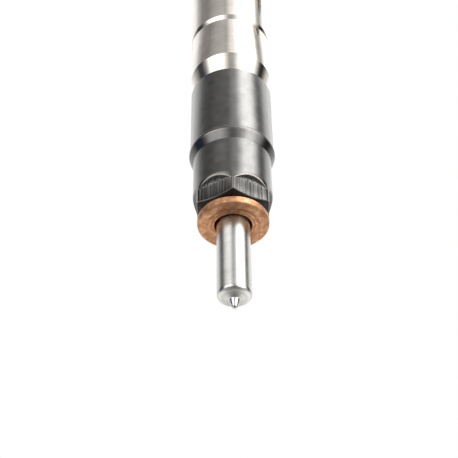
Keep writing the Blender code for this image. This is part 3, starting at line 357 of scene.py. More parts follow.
def rod(radius, start, end, sides):
    """A plain rod between two points, used as a drill."""
    start = Vector(start)
    along = Vector(end) - start
    bm = bmesh.new()
    bmesh.ops.create_cone(bm, cap_ends=True, segments=sides, radius1=radius,
                          radius2=radius, depth=along.length)
    turn = Vector((0, 0, 1)).rotation_difference(along).to_matrix()
    bmesh.ops.rotate(bm, cent=(0, 0, 0), matrix=turn, verts=bm.verts)
    bmesh.ops.translate(bm, vec=start + along / 2, verts=bm.verts)
    return new_piece("drill", bm)


def stretched(tree, place, scale, turn=(0, 0, 0)):
    """Coordinates that are scaled along each axis and turned, for a drawn-out texture."""
    return add_node(tree, "Mapping", {"Vector": place, "Rotation": turn,
                                      "Scale": scale}).outputs[0]


def gloss(tree, value, start, end):
    """Roughness that goes from one value to another over the middle of a noise."""
    return add_node(tree, "MapRange", {"Value": value, "From Min": 0.3, "From Max": 0.7,
                                       "To Min": start, "To Max": end}).outputs[0]


def relief(tree, height, strength, distance):
    """A bumped normal from a texture's value, its distance in metres."""
    return add_node(tree, "Bump", {"Height": height, "Strength": strength,
                                   "Distance": distance}).outputs[0]


def turned_metal(name, colour, worn, roughness, ring_mm, bump, brushed=0.0):
    """Bare steel off a lathe or grinder. Fine rings run round it, drawn ring_mm apart, and
    draw its reflections out along the axis by brushed. Its tone and gloss vary gently
    where hands and swarf have touched it."""
    made, tree, shader, place = new_material(name)
    rings_per_m = 1.0 / (ring_mm * MM)
    rings = grain(tree, stretched(tree, place, (60.0, 60.0, rings_per_m)), 1.0, 3.0)
    cloud = grain(tree, place, 260.0, 4.0)
    both = add_node(tree, "Math", {0: rings, 1: cloud}, operation="MULTIPLY")
    fill_inputs(tree, shader, {
        "Base Color": ramp(tree, both.outputs[0], [(0.12, linear(worn)),
                                                   (0.34, linear(colour))]),
        "Roughness": gloss(tree, cloud, roughness * (1 - GLOSS_SPREAD),
                           roughness * (1 + GLOSS_SPREAD)),
        "Normal": relief(tree, rings, bump, FINE_RELIEF),
        "Metallic": 1.0})
    if brushed:
        around = add_node(tree, "Tangent", direction_type="RADIAL", axis="Z")
        fill_inputs(tree, shader, {"Tangent": around.outputs[0], "Anisotropic": brushed,
                                   "Anisotropic Rotation": 0.25})
    return made


ground_steel = turned_metal("ground hardened steel", "#e4e3df", "#d2d0cb", 0.22, 0.10, 0.05,
                            brushed=0.9)
turned_steel = turned_metal("fine turned steel", "#dcdad5", "#bdbbb5", 0.36, 0.08, 0.3,
                            brushed=0.8)
nub_steel = turned_metal("polished steel nub", "#e4e2de", "#cfcdc8", 0.12, 0.10, 0.03)

tip, nozzle_top = heights("nozzle_body")
cone_foot = tip + NUB_HEIGHT
cone_top = cone_foot + CONE_HEIGHT
collar_foot = nozzle_top - COLLAR_HEIGHT
gallery_foot = collar_foot + GALLERY_RISE
gallery_low, gallery_high, gallery_top = (gallery_foot + rise for rise in GALLERY_LEVELS)
needle_bore = half_width("nozzle_needle") + GUIDE_CLEARANCE
sac_end = tip + SAC_HEIGHT
seat_foot = cone_foot + SEAT_RISE
seat_top = seat_foot + (STEM_SPACE - SAC_RADIUS) / tan(SEAT_ANGLE)

nub_arc = [(NUB_RADIUS * sin(a), tip + NUB_RADIUS * (1 - cos(a)))
           for a in (k * pi / 20 for k in range(10))]
edge_start = Vector((SHAFT_RADIUS - TIP_EDGE * sin(CONE_ANGLE),
                     cone_top - TIP_EDGE * cos(CONE_ANGLE)))
tip_corner = [((1 - t) ** 2 * edge_start + 2 * t * (1 - t) * Vector((SHAFT_RADIUS, cone_top))
               + t ** 2 * Vector((SHAFT_RADIUS, cone_top + TIP_EDGE)))
              for t in (k / 10 for k in range(11))]
nozzle_outline = nub_arc + [(NUB_RADIUS, tip + NUB_RADIUS), (NUB_BASE - 0.02, cone_foot - 0.05),
                            (NUB_BASE + 0.04, cone_foot)]
nozzle_outline += [tuple(point) for point in tip_corner]
nozzle_outline += eased(
    [(SHAFT_RADIUS, cone_top + TIP_EDGE + 0.1), (SHAFT_RADIUS, collar_foot),
     (COLLAR_RADIUS, collar_foot), (COLLAR_RADIUS, nozzle_top), (needle_bore, nozzle_top),
     (needle_bore, gallery_top), (GALLERY_RADIUS, gallery_high),
     (GALLERY_RADIUS, gallery_low), (STEM_SPACE, gallery_foot), (STEM_SPACE, seat_top),
     (SAC_RADIUS, seat_foot), (SAC_RADIUS, sac_end), (0.0, sac_end)], 0.07, closed=False)
nozzle = new_piece("nozzle", lathe(nozzle_outline, NOZZLE_SIDES), ground_steel, turned_steel,
                   nub_steel)
holes = []
spray_level = (sac_end + cone_foot) / 2 + SPRAY_RISE
for number in range(SPRAY_HOLES):
    angle = 2 * pi * (number + 0.5) / SPRAY_HOLES
    start = (SPRAY_START * cos(angle), SPRAY_START * sin(angle), spray_level)
    end = (SPRAY_END * cos(angle), SPRAY_END * sin(angle), spray_level - SPRAY_DROP)
    holes.append(rod(SPRAY_HOLE_RADIUS, start, end, 12))
cut_away(nozzle, holes)
paint(nozzle, 1, lambda c: cone_foot < c.z < edge_start.y and c.xy.length > NUB_BASE)
paint(nozzle, 2, lambda c: c.z <= cone_foot)
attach(nozzle, "injector")
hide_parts("nozzle_body")


# ---------------------------------------------------------------------------------------
# Sealing washer. Soft annealed copper, stamped and slightly dished, with a raised rim
# round its bore. It is crushed between the nozzle nut and the cylinder head.
# ---------------------------------------------------------------------------------------
WASHER_BORE = 3.88
WASHER_CRUSH = 0.2           # how far it is squeezed up against the nut
WASHER_RIM = ((0.0, 0.25), (0.15, 0.0), (0.5, -0.05), (0.75, 0.35), (1.2, 0.3))
WASHER_SKIRT = ((1.7, -0.1), (0.75, -0.2), (0.55, -0.2), (0.0, 0.35))
WASHER_CHAMFER = 0.3
WASHER_RIPPLE = 0.03
WASHER_RIPPLE_SCALE = 450
WASHER_PLAIN = 0.2           # no ripple below this level, on the sealing face


def annealed_copper():
    """Copper that has been handled: warm orange, mottled brown, with fine scratches that
    scatter its shine."""
    made, tree, shader, place = new_material("annealed copper")
    mottle = grain(tree, place, 700.0, 6.0, 0.65)
    scratch = grain(tree, stretched(tree, place, (2500.0, 300.0, 600.0), (0, 0, 0.7)), 1.0,
                    2.0)
    fill_inputs(tree, shader, {
        "Base Color": ramp(tree, mottle, [(0.25, linear("#a67048")), (0.5, linear("#cf9b74")),
                                          (0.75, linear("#f0c8a4"))]),
        "Roughness": gloss(tree, mottle, 0.6, 0.46),
        "Normal": relief(tree, scratch, 0.35, 0.0001),
        "Metallic": 1.0})
    return made


copper = annealed_copper()
washer_low, washer_high = heights("sealing_washer")
washer_high += WASHER_CRUSH
washer_radius = half_width("sealing_washer")
washer_outline = eased(
    [(WASHER_BORE + out, washer_low + up) for out, up in WASHER_RIM]
    + [(washer_radius - inward, washer_low + up) for inward, up in WASHER_SKIRT]
    + [(washer_radius, washer_high - WASHER_CHAMFER),
       (washer_radius - WASHER_CHAMFER, washer_high), (WASHER_BORE, washer_high)], 0.2, 4)
washer = new_piece("washer", lathe(washer_outline, 128), copper)
for vertex in washer.data.vertices:
    if vertex.co.z > WASHER_PLAIN * MM:
        wander = noise.noise(vertex.co * WASHER_RIPPLE_SCALE) * WASHER_RIPPLE * MM
        vertex.co.z += min(wander, washer_high * MM - vertex.co.z)
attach(washer, "injector")
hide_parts("sealing_washer")


# ---------------------------------------------------------------------------------------
# Nozzle nut. Turned steel, blackened in a hot oxide bath, with six milled flats for a
# 15 mm spanner. The oxide has worn through to bright steel on the sharp edges.
# ---------------------------------------------------------------------------------------
GAP = 0.3                    # between two pieces that seat on each other
NUT_FLATS = 15.0
NUT_FLAT_HEIGHT = 4.0
NUT_RUNOUT = 1.5             # how high the flats run out in their middles
NUT_RUNOUT_CURVE = 1.7
NUT_LAND = 6.8
NUT_CHAMFER_HEIGHT = 0.9
NUT_LOWER_RADIUS = 8.5
NUT_UPPER_RADIUS = 9.2
NUT_STEP_HEIGHT = 15.65
NUT_STEP_LENGTH = 1.9
NUT_RIM_LENGTH = 0.7
NUT_RIM_SLOPE = 0.25
NUT_SEAT_HEIGHT = 6.0
NUT_THREAD_DROP = 1.0        # from the nozzle's top face
NUT_THREAD_WALL = 2.95       # from the body's seal bore to the nut's thread
NUT_EDGE = 0.12
CORNER_WEAR = 0.012          # half the width of the worn edges, as a share of a flat
OXIDE_FLATS, WORN_EDGE, PAINTED_SHADE_END = 1, 2, 3   # material slots; the barrel has the first


def hex_columns(flats, round_radius, per_flat, per_corner):
    """Angles and radii round a bar with six flats: each flat, then its round corner."""
    columns = []
    half = flats / 2
    span = acos(min(1.0, half / round_radius))
    for side in range(6):
        middle = side * pi / 3 - pi / 3
        for k in range(per_flat):
            a = -span + 2 * span * k / per_flat
            columns.append((middle + a, half / cos(a)))
        corner = pi / 3 - 2 * span
        for k in range(per_corner):
            columns.append((middle + span + corner * k / per_corner, round_radius))
    return columns


def wrap(lines, angles, slots=None):
    """Close a solid from lines of (radius, height), one for each angle. The band of faces
    that starts at a line may have a material slot of its own."""
    bm = bmesh.new()
    grid = [[bm.verts.new((r * cos(a), r * sin(a), z)) for (r, z), a in zip(line, angles)]
            for line in lines]
    count = len(angles)
    for number, (near, far) in enumerate(zip(grid, grid[1:] + grid[:1])):
        for k in range(count):
            j = (k + 1) % count
            face = bm.faces.new((near[k], near[j], far[j], far[k]))
            face.material_index = (slots or {}).get(number, 0)
    return bm


def skin(rows, columns, slots=None):
    """Close a solid from rows that give (radius, height) for each column's radius."""
    return wrap([[row(reach) for angle, reach in columns] for row in rows],
                [angle for angle, reach in columns], slots)


def at(r, z):
    """A row that is a plain circle."""
    return lambda reach: (r, z)


def black_oxide(name, bare, dark, light, roughness, upright):
    """Steel blackened with hot oxide: nearly black, a satin sheen, faint tool lines.
    Upright lines are left by a milling cutter, rings by a lathe."""
    made, tree, shader, place = new_material(name)
    fine, coarse = 1.0 / (0.16 * MM), 80.0
    scale = (fine, fine, coarse) if upright else (coarse, coarse, fine)
    lines = grain(tree, stretched(tree, place, scale), 1.0, 3.0)
    cloud = grain(tree, place, 420.0, 5.0)
    speck = add_node(tree, "TexVoronoi", {"Vector": place, "Scale": 900.0}, feature="F1")
    tone = ramp(tree, lines if upright else cloud, [(0.35, linear(dark)),
                                                    (0.65, linear(light))])
    chip = ramp(tree, speck.outputs["Distance"], [(0.035, 1.0), (0.05, 0.0)])
    mixed = add_node(tree, "Mix", {"Factor": chip, 6: tone, 7: (*linear(bare), 1)},
                     data_type="RGBA")
    fill_inputs(tree, shader, {
        "Base Color": mixed.outputs[2],
        "Roughness": gloss(tree, cloud, roughness * 0.85, roughness * 1.15),
        "Normal": relief(tree, lines, 0.12 if upright else 0.08, 0.00005),
        "Metallic": 1.0})
    return made


oxide_barrel = black_oxide("black oxide on turned steel", "#b8b2aa", "#6b6a69", "#777674",
                           0.18, False)
oxide_flats = black_oxide("black oxide on milled steel", "#b8b2aa", "#2b2a29", "#716f6d",
                          0.2, True)
# The nut's end face and chamfer: black oxide painted far darker than the flats. This is painted
# shade for the washer shading the corner under the nut.
painted_shade_oxide = black_oxide("black oxide darkened with painted shade", "#4a4845", "#2c2b2a", "#454341",
                        0.4, False)
worn_edge = turned_metal("edge worn to bare steel", "#a9a29a", "#7b756f", 0.3, 0.2, 0.1)

nut_low, nut_high = heights("nozzle_nut")
nut_seat = nut_low + NUT_SEAT_HEIGHT
flat_end = nut_low + NUT_FLAT_HEIGHT
nut_step = nut_low + NUT_STEP_HEIGHT
nut_rim = nut_step + NUT_STEP_LENGTH
nut_rim_top = nut_rim + NUT_RIM_LENGTH
nut_rim_radius = half_width("nozzle_nut")
nut_thread_foot = nozzle_top - NUT_THREAD_DROP
chamfer_slope = NUT_CHAMFER_HEIGHT / (NUT_LOWER_RADIUS - NUT_LAND)
nut_bore = COLLAR_RADIUS + GAP
nut_thread = half_width("high_pressure_seal_ring") + NUT_THREAD_WALL
barrel = eased(
    [(NUT_LOWER_RADIUS, flat_end + NUT_RUNOUT + 0.5), (NUT_LOWER_RADIUS, nut_step),
     (nut_rim_radius, nut_rim), (nut_rim_radius, nut_rim_top),
     (NUT_UPPER_RADIUS, nut_rim_top + NUT_RIM_SLOPE), (NUT_UPPER_RADIUS, nut_high),
     (nut_thread, nut_high), (nut_thread, nut_thread_foot), (nut_bore, nut_thread_foot - 0.5),
     (nut_bore, nut_seat), (WASHER_BORE, nut_seat)], 0.18, closed=False)


def run_out(reach, part):
    """Where a flat curves out to the barrel, from its end (part 0) to the barrel (part 1)."""
    rise = NUT_RUNOUT * (NUT_LOWER_RADIUS * NUT_FLATS / 2 / reach - NUT_FLATS / 2)
    rise /= NUT_LOWER_RADIUS - NUT_FLATS / 2
    out = (NUT_LOWER_RADIUS - reach) * part ** NUT_RUNOUT_CURVE
    return reach + out, flat_end + rise * part


nut_rows = [
    at(WASHER_BORE, nut_low), at(NUT_LAND, nut_low),
    lambda reach: (reach - NUT_EDGE,
                   nut_low + (reach - NUT_EDGE - NUT_LAND) * chamfer_slope),
    lambda reach: (reach, nut_low + (reach - NUT_LAND) * chamfer_slope + NUT_EDGE)]
nut_rows += [lambda reach, part=part: run_out(reach, part) for part in (0.0, 0.3, 0.6, 0.9)]
nut_rows.append(lambda reach: (NUT_LOWER_RADIUS, run_out(reach, 1.0)[1] + NUT_EDGE))
nut_rows += [at(r, z) for r, z in barrel]
# Bands 0 and 1, the end face and the chamfer, take the oxide darkened with painted shade. The
# bevel bands take the worn edge.
nut_slots = dict(enumerate([PAINTED_SHADE_END] * 2 + [WORN_EDGE] + [OXIDE_FLATS] * 4 + [WORN_EDGE]))
nut_columns = hex_columns(NUT_FLATS, NUT_LOWER_RADIUS, 20, 3)
nut = new_piece("nut", skin(nut_rows, nut_columns, nut_slots), oxide_barrel, oxide_flats,
                worn_edge, painted_shade_oxide)
paint(nut, WORN_EDGE, lambda c: nut_low + 0.5 < c.z < flat_end
      and c.xy.length > NUT_LOWER_RADIUS - 0.03
      and abs(atan2(c.y, c.x) / (pi / 3) % 1.0 - 0.5) < CORNER_WEAR)
paint(nut, WORN_EDGE, lambda c: abs(c.z - nut_rim) < NUT_EDGE
      and c.xy.length > nut_rim_radius - 0.1)
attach(nut, "injector")
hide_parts("nozzle_nut")


# ---------------------------------------------------------------------------------------
# Injector body. Forged steel, turned, ground and bright plated. A neck tapers into the
# nut, and a groove runs round the shank. The head has the clamp flats and the inlet boss.
# ---------------------------------------------------------------------------------------
BODY_SIDES = 128
LAND_RADIUS = 9.4
SHANK_RADIUS = 9.4
SPIGOT_RADIUS = 7.85
SPIGOT_SHORT = 0.4           # the neck starts this much inside the nut
NECK_LENGTH = 5.3
LAND_LENGTH = 12.4
GROOVE_WIDTH = 1.7
GROOVE_DEPTH = 0.5
GROOVE_SLOPE = 0.2           # height of its steep lower side
SHANK_LENGTH = 39.3
HEAD_RADIUS = 13.5
HEAD_TAPER = 3.0
HEAD_LENGTH = 32.0
BODY_SPIGOT_RADIUS = 11.5
SPRING_CHAMBER = 4.0
PISTON_BORE = 2.5
VALVE_CHAMBER = 9.4
VALVE_LEDGE_DROP = 4.8       # from the armature guide's foot
ANNULUS_WIDTH = 1.1          # fuel space round the valve body
ANNULUS_HEIGHT = 2.5
CLAMP_HALF_WIDTH = 10.5
CLAMP_CUT = 6.0
CLAMP_REACH = 15.0
CLAMP_RISE = 7.0
CLAMP_HEIGHT = 10.0
BOSS_RADIUS = 9.0
BOSS_REACH = 19.0
BOSS_ROOT = 1.0              # how far the boss is sunk, and its thread's cutter stands out
INLET_HOLE_RADIUS = 6.1

bright_plate = turned_metal("bright plated steel", "#e9e3da", "#d6cfc5", 0.09, 0.12, 0.05)
head_plate = turned_metal("plated forged steel", "#d8d2c9", "#bdb6ac", 0.22, 0.3, 0.12)

body_low, body_high = heights("injector_body")
neck_top = nut_high + NECK_LENGTH
groove_low = neck_top + LAND_LENGTH
groove_high = groove_low + GROOVE_WIDTH
shank_top = groove_high + SHANK_LENGTH
head_low = shank_top + HEAD_TAPER
head_high = head_low + HEAD_LENGTH
spring_shim_top = heights("needle_spring_shim")[1] + GAP
seal_floor = heights("high_pressure_seal_ring")[0] - GAP
valve_ledge = heights("armature_guide")[0] - VALVE_LEDGE_DROP
snout_bore = half_width("high_pressure_seal_ring") + GAP
annulus_low = valve_ledge - ANNULUS_HEIGHT
annulus_radius = snout_bore + ANNULUS_WIDTH
body_outline = eased(
    [(SPRING_CHAMBER, body_low), (SPIGOT_RADIUS, body_low),
     (SPIGOT_RADIUS, nut_high - SPIGOT_SHORT), (LAND_RADIUS, neck_top),
     (LAND_RADIUS, groove_low), (LAND_RADIUS - GROOVE_DEPTH, groove_low + GROOVE_SLOPE),
     (SHANK_RADIUS, groove_high), (SHANK_RADIUS, shank_top), (HEAD_RADIUS, head_low),
     (HEAD_RADIUS, head_high), (BODY_SPIGOT_RADIUS, head_high),
     (BODY_SPIGOT_RADIUS, body_high), (VALVE_CHAMBER, body_high),
     (VALVE_CHAMBER, valve_ledge), (annulus_radius, valve_ledge),
     (annulus_radius, annulus_low), (snout_bore, annulus_low), (snout_bore, seal_floor),
     (PISTON_BORE, seal_floor), (PISTON_BORE, spring_shim_top),
     (SPRING_CHAMBER, spring_shim_top)], 0.12)
body = new_piece("body", lathe(body_outline, BODY_SIDES), bright_plate, head_plate)


def box_mesh(low, high):
    """A plain box between two corners."""
    bm = bmesh.new()
    bmesh.ops.create_cube(bm, size=1.0)
    low, high = Vector(low), Vector(high)
    bmesh.ops.scale(bm, vec=high - low, verts=bm.verts)
    bmesh.ops.translate(bm, vec=(low + high) / 2, verts=bm.verts)
    return bm


def block(low, high):
    """A box that cuts or welds."""
    return new_piece("block", box_mesh(low, high))


def lay_along_x(bm, height):
    """Lay a piece that was turned round Z along +X, at a height."""
    bmesh.ops.rotate(bm, cent=(0, 0, 0), matrix=Matrix.Rotation(pi / 2, 3, "Y"), verts=bm.verts)
    bmesh.ops.translate(bm, vec=(0, 0, height), verts=bm.verts)
    return bm


inlet_low, inlet_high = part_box("inlet_connector")
inlet_level = (inlet_low.z + inlet_high.z) / 2 / MM
inlet_nose = inlet_low.x / MM
inlet_end = inlet_high.x / MM
clamp_low = head_low + CLAMP_RISE
cut_away(body, [block((-CLAMP_REACH, y, clamp_low),
                      (CLAMP_REACH, y + CLAMP_CUT, clamp_low + CLAMP_HEIGHT))
                for y in (-CLAMP_HALF_WIDTH - CLAMP_CUT, CLAMP_HALF_WIDTH)])
boss_outline = [(0.0, inlet_nose - BOSS_ROOT), (BOSS_RADIUS, inlet_nose - BOSS_ROOT)]
boss_outline += eased([(BOSS_RADIUS, inlet_nose), (BOSS_RADIUS, BOSS_REACH),
                       (0.0, BOSS_REACH)], 0.5, closed=False)
boss = new_piece("boss", lay_along_x(lathe(boss_outline, 64), inlet_level))
cut_away(body, [boss], "UNION")
thread_outline = [(0.0, inlet_nose - GAP), (INLET_HOLE_RADIUS, inlet_nose - GAP),
                  (INLET_HOLE_RADIUS, BOSS_REACH + BOSS_ROOT), (0.0, BOSS_REACH + BOSS_ROOT)]
cut_away(body, [new_piece("thread hole", lay_along_x(lathe(thread_outline, 64), inlet_level))])
paint(body, 1, lambda c: c.z > shank_top + 0.3)
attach(body, "injector")
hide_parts("injector_body")


# ---------------------------------------------------------------------------------------
# Solenoid nut. Plated steel cap nut with a 29 mm hexagon, screwed on the head. Its lip
# clamps the connector's flange down on the body.
# ---------------------------------------------------------------------------------------
SOLENOID_FLATS = 29.0
SOLENOID_CORNER = 16.643     # from the axis to the hexagon's rounded corners
SOLENOID_HEX_HEIGHT = 9.7
SOLENOID_RADIUS = 13.6
SOLENOID_BORE = 11.8
SOLENOID_LIP = 2.0
LIP_BORE = 9.7
BEVEL_INSET = 0.3
BEVEL_ANGLE = radians(30)

plated_nut = turned_metal("zinc plated steel", "#cbc6bd", "#aca79e", 0.24, 0.2, 0.12)

cap_low, cap_high = heights("solenoid_nut")
cap_hex_top = cap_low + SOLENOID_HEX_HEIGHT
bevel_start = SOLENOID_FLATS / 2 - BEVEL_INSET
bevel_slope = tan(BEVEL_ANGLE)
cap_rows = [
    at(SOLENOID_BORE, cap_low), at(bevel_start, cap_low),
    lambda reach: (reach, cap_low + (reach - bevel_start) * bevel_slope),
    lambda reach: (reach, cap_hex_top - (reach - bevel_start) * bevel_slope),
    at(bevel_start, cap_hex_top)]
cap_rows += [at(r, z) for r, z in eased(
    [(SOLENOID_RADIUS + 0.2, cap_hex_top), (SOLENOID_RADIUS, cap_hex_top + 0.3),
     (SOLENOID_RADIUS, cap_high), (LIP_BORE, cap_high), (LIP_BORE, cap_high - SOLENOID_LIP),
     (SOLENOID_BORE, cap_high - SOLENOID_LIP)], 0.5, closed=False)]
cap = new_piece("cap_nut", skin(cap_rows, hex_columns(SOLENOID_FLATS, SOLENOID_CORNER, 20, 2)),
                plated_nut)
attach(cap, "injector")
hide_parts("solenoid_nut")


# ---------------------------------------------------------------------------------------
# Inlet connector. Plated steel stud screwed in the boss, with a 17 mm hexagon, a 14 mm
# pipe thread and a 60 degree cone in its end that the fuel pipe's nipple seats in.
# ---------------------------------------------------------------------------------------
INLET_THREAD_RADIUS = 7.0
INLET_THREAD_DEPTH = 0.85
INLET_PITCH = 1.5
INLET_THREAD_LENGTH = 12.0
INLET_THREAD_SHORT = 0.6     # the thread fades out this far from the end
INLET_HEX_LENGTH = 5.0
INLET_FLATS = 17.0
INLET_HEX_BEVEL = 0.2
INLET_CORNER = 0.1           # taken off the hexagon's corners
INLET_RELIEF = 1.4           # plain neck between the hexagon and the thread
INLET_NECK = 5.6
INLET_STUD = 5.8
INLET_STUD_CHAMFER = 1.0
INLET_NOSE_BORE = 1.0
INLET_BORE = 2.1
INLET_STEP = (2.9, 3.7)      # where the bore widens, from the nose
INLET_CONE = 4.6
INLET_CONE_ANGLE = radians(30)
THREAD_CUTS = 6              # rows in one pitch
THREAD_CREST, THREAD_ROOT = 1.25, 0.12   # how flat the thread's crests and roots are


def screw_thread(outer, depth, pitch, start, length, sides):
    """Rows of a V thread as one skin: each row's height follows the helix round."""
    lines = []
    for row in range(int(length / pitch * THREAD_CUTS) + 1):
        line = []
        for k in range(sides):
            z = row * pitch / THREAD_CUTS
            phase = (z / pitch - k / sides) % 1.0
            crest = 1.0 - abs(phase * 2 - 1.0)
            crest = min(1.0, max(0.0, crest * THREAD_CREST - THREAD_ROOT))
            fade = min(1.0, z / pitch, (length - z) / pitch)
            line.append((outer - depth + depth * crest * max(0.0, fade), start + z))
        lines.append(line)
    return lines


thread_start = inlet_end - INLET_THREAD_LENGTH
hex_end = thread_start - INLET_RELIEF
hex_start = hex_end - INLET_HEX_LENGTH
inlet_cone_foot = inlet_end - (INLET_CONE - INLET_BORE) / tan(INLET_CONE_ANGLE)
hex_bar = hex_columns(INLET_FLATS, INLET_FLATS / 2 / cos(pi / 6) - INLET_CORNER, 14, 2)
hex_angles = [a for a, reach in hex_bar]
sides = len(hex_bar)
hex_bevel = INLET_FLATS / 2 - INLET_HEX_BEVEL


def circles(outline, radius):
    """Lines for wrap that are plain circles, with eased corners between them."""
    return [[point] * sides for point in eased(outline, radius, closed=False)]


inlet_lines = circles(
    [(INLET_NOSE_BORE, inlet_nose), (INLET_STUD - INLET_STUD_CHAMFER, inlet_nose),
     (INLET_STUD, inlet_nose + INLET_STUD_CHAMFER), (INLET_STUD, hex_start - 0.1)], 0.1)
inlet_lines.append([(hex_bevel, hex_start)] * sides)
inlet_lines.append([(reach, hex_start + (reach - hex_bevel) * bevel_slope)
                    for a, reach in hex_bar])
inlet_lines.append([(reach, hex_end - (reach - hex_bevel) * bevel_slope)
                    for a, reach in hex_bar])
inlet_lines.append([(hex_bevel, hex_end)] * sides)
inlet_lines += circles([(INLET_NECK + 0.3, hex_end), (INLET_NECK, hex_end + 0.3),
                        (INLET_NECK, thread_start)], 0.1)
inlet_lines += screw_thread(INLET_THREAD_RADIUS, INLET_THREAD_DEPTH, INLET_PITCH, thread_start,
                            INLET_THREAD_LENGTH - INLET_THREAD_SHORT, sides)
inlet_lines += circles(
    [(INLET_THREAD_RADIUS - 1.1, inlet_end), (INLET_CONE, inlet_end),
     (INLET_BORE, inlet_cone_foot), (INLET_BORE, inlet_nose + INLET_STEP[1]),
     (INLET_NOSE_BORE, inlet_nose + INLET_STEP[0])], 0.15)
inlet = new_piece("inlet_stud", lay_along_x(wrap(inlet_lines, hex_angles), inlet_level),
                  plated_nut)
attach(inlet, "injector")
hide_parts("inlet_connector")


# ---------------------------------------------------------------------------------------
# Inlet seal. A flat copper ring under the inlet's hexagon, crushed on the boss.
# ---------------------------------------------------------------------------------------
seal_low, seal_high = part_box("inlet_seal")
seal_radius = (seal_high.y - seal_low.y) / 2 / MM
seal_foot, seal_top = seal_low.x / MM, seal_high.x / MM
seal_outline = eased([(INLET_HOLE_RADIUS, seal_foot), (seal_radius, seal_foot),
                      (seal_radius, seal_top), (INLET_HOLE_RADIUS, seal_top)], 0.25)
seal = new_piece("inlet_ring", lay_along_x(lathe(seal_outline, 96), inlet_level), copper)
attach(seal, "injector")
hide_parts("inlet_seal")


# ---------------------------------------------------------------------------------------
# Connector housing. Black glass-filled nylon, moulded over the coil's terminals, with a
# two-way socket to one side and the drain passage up its middle.
# ---------------------------------------------------------------------------------------
HOUSE_BORE = 3.1
DRAIN_BORE = 1.6
NIPPLE_HOLE = 3.05
FLANGE_RADIUS = 11.2
FLANGE_THICKNESS = 3.8
RING_GROOVE_RADIUS = 9.7
RING_GROOVE_HALF = 1.0
NECK_RADIUS = 9.4
NECK_CHAMFER = 0.6
TERMINAL_RISE = 1.1          # from the socket's middle to the terminals' tops
SOCKET_WIDTH = 12.0
SOCKET_HEIGHT = 8.8
SOCKET_WALL = 1.8
SOCKET_DEPTH = 15.0
SOCKET_ROOT = -4.6           # where its shell ends inside the neck
SHELL_CORNER, SOCKET_CORNER = 1.6, 0.9
LATCH_START, LATCH_END = 4.0, 8.0  # from the socket's rim
LATCH_HALF_WIDTH = 2.5
LATCH_HEIGHT = 1.4
LATCH_SUNK = 0.5


def moulded_nylon():
    """Black nylon with glass fibre, off a spark-eroded mould: fine pits and a low sheen."""
    made, tree, shader, place = new_material("moulded glass-filled nylon")
    pits = grain(tree, place, 2600.0, 3.0)
    cloud = grain(tree, place, 180.0, 4.0)
    fill_inputs(tree, shader, {
        "Base Color": ramp(tree, cloud, [(0.35, linear("#1d1d1f")), (0.65, linear("#2a2a2c"))]),
        "Roughness": gloss(tree, cloud, 0.42, 0.56),
        "Normal": relief(tree, pits, 0.35, 0.00006),
        "IOR": 1.53})
    return made


nylon = moulded_nylon()
house_low, house_high = heights("connector_housing")
socket_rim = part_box("connector_housing")[0].x / MM
socket_level = heights("terminal_1")[1] - TERMINAL_RISE
flange_high = house_low + FLANGE_THICKNESS
ring_level = house_low + FLANGE_THICKNESS / 2
groove_foot, groove_top = ring_level - RING_GROOVE_HALF, ring_level + RING_GROOVE_HALF
shim_recess = heights("valve_spring_shim")[1] + GAP
nipple_low, nipple_high = heights("return_nipple")
house_outline = eased(
    [(HOUSE_BORE, house_low), (FLANGE_RADIUS, house_low), (FLANGE_RADIUS, groove_foot),
     (RING_GROOVE_RADIUS, groove_foot), (RING_GROOVE_RADIUS, groove_top),
     (FLANGE_RADIUS, groove_top), (FLANGE_RADIUS, flange_high), (NECK_RADIUS, flange_high),
     (NECK_RADIUS, house_high - NECK_CHAMFER), (NECK_RADIUS - NECK_CHAMFER, house_high),
     (NIPPLE_HOLE, house_high), (NIPPLE_HOLE, nipple_low - GAP),
     (DRAIN_BORE, nipple_low - GAP), (DRAIN_BORE, shim_recess), (HOUSE_BORE, shim_recess)],
    0.2)
house = new_piece("connector", lathe(house_outline, 96), nylon)
shell_y = SOCKET_WIDTH / 2 + SOCKET_WALL
shell_z = SOCKET_HEIGHT / 2 + SOCKET_WALL
shell_foot = socket_level - shell_z


def soft_block(low, high, round_by):
    """A box whose four edges along X are rounded."""
    bm = box_mesh(low, high)
    along = [e for e in bm.edges
             if abs((e.verts[0].co - e.verts[1].co).normalized().x) > 0.99]
    bmesh.ops.bevel(bm, geom=along, offset=round_by, segments=4, affect="EDGES", profile=0.5)
    return new_piece("soft block", bm)


cut_away(house, [soft_block((socket_rim, -shell_y, shell_foot),
                            (SOCKET_ROOT, shell_y, socket_level + shell_z), SHELL_CORNER)],
         "UNION")
cut_away(house, [soft_block(
    (socket_rim - 1, -SOCKET_WIDTH / 2, socket_level - SOCKET_HEIGHT / 2),
    (socket_rim + SOCKET_DEPTH, SOCKET_WIDTH / 2, socket_level + SOCKET_HEIGHT / 2),
    SOCKET_CORNER)])
cut_away(house, [block(
    (socket_rim + LATCH_START, -LATCH_HALF_WIDTH, shell_foot - LATCH_HEIGHT),
    (socket_rim + LATCH_END, LATCH_HALF_WIDTH, shell_foot + LATCH_SUNK))], "UNION")
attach(house, "injector")
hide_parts("connector_housing")


# ---------------------------------------------------------------------------------------
# Return nipple. Tin plated steel, pushed in the housing over its small ring, with a barb
# for the leak-off hose.
# ---------------------------------------------------------------------------------------
NIPPLE_BORE = 1.2
NIPPLE_PLUG = 2.75
NIPPLE_GROOVE = 1.95
NIPPLE_GROOVE_HALF = 0.6
NIPPLE_FLANGE = 4.2
NIPPLE_FLANGE_THICKNESS = 1.3
NIPPLE_STEM = 2.1
NIPPLE_BARB = 2.9
NIPPLE_BARB_LENGTHS = (4.0, 3.4)   # its foot and its edge, down from the end

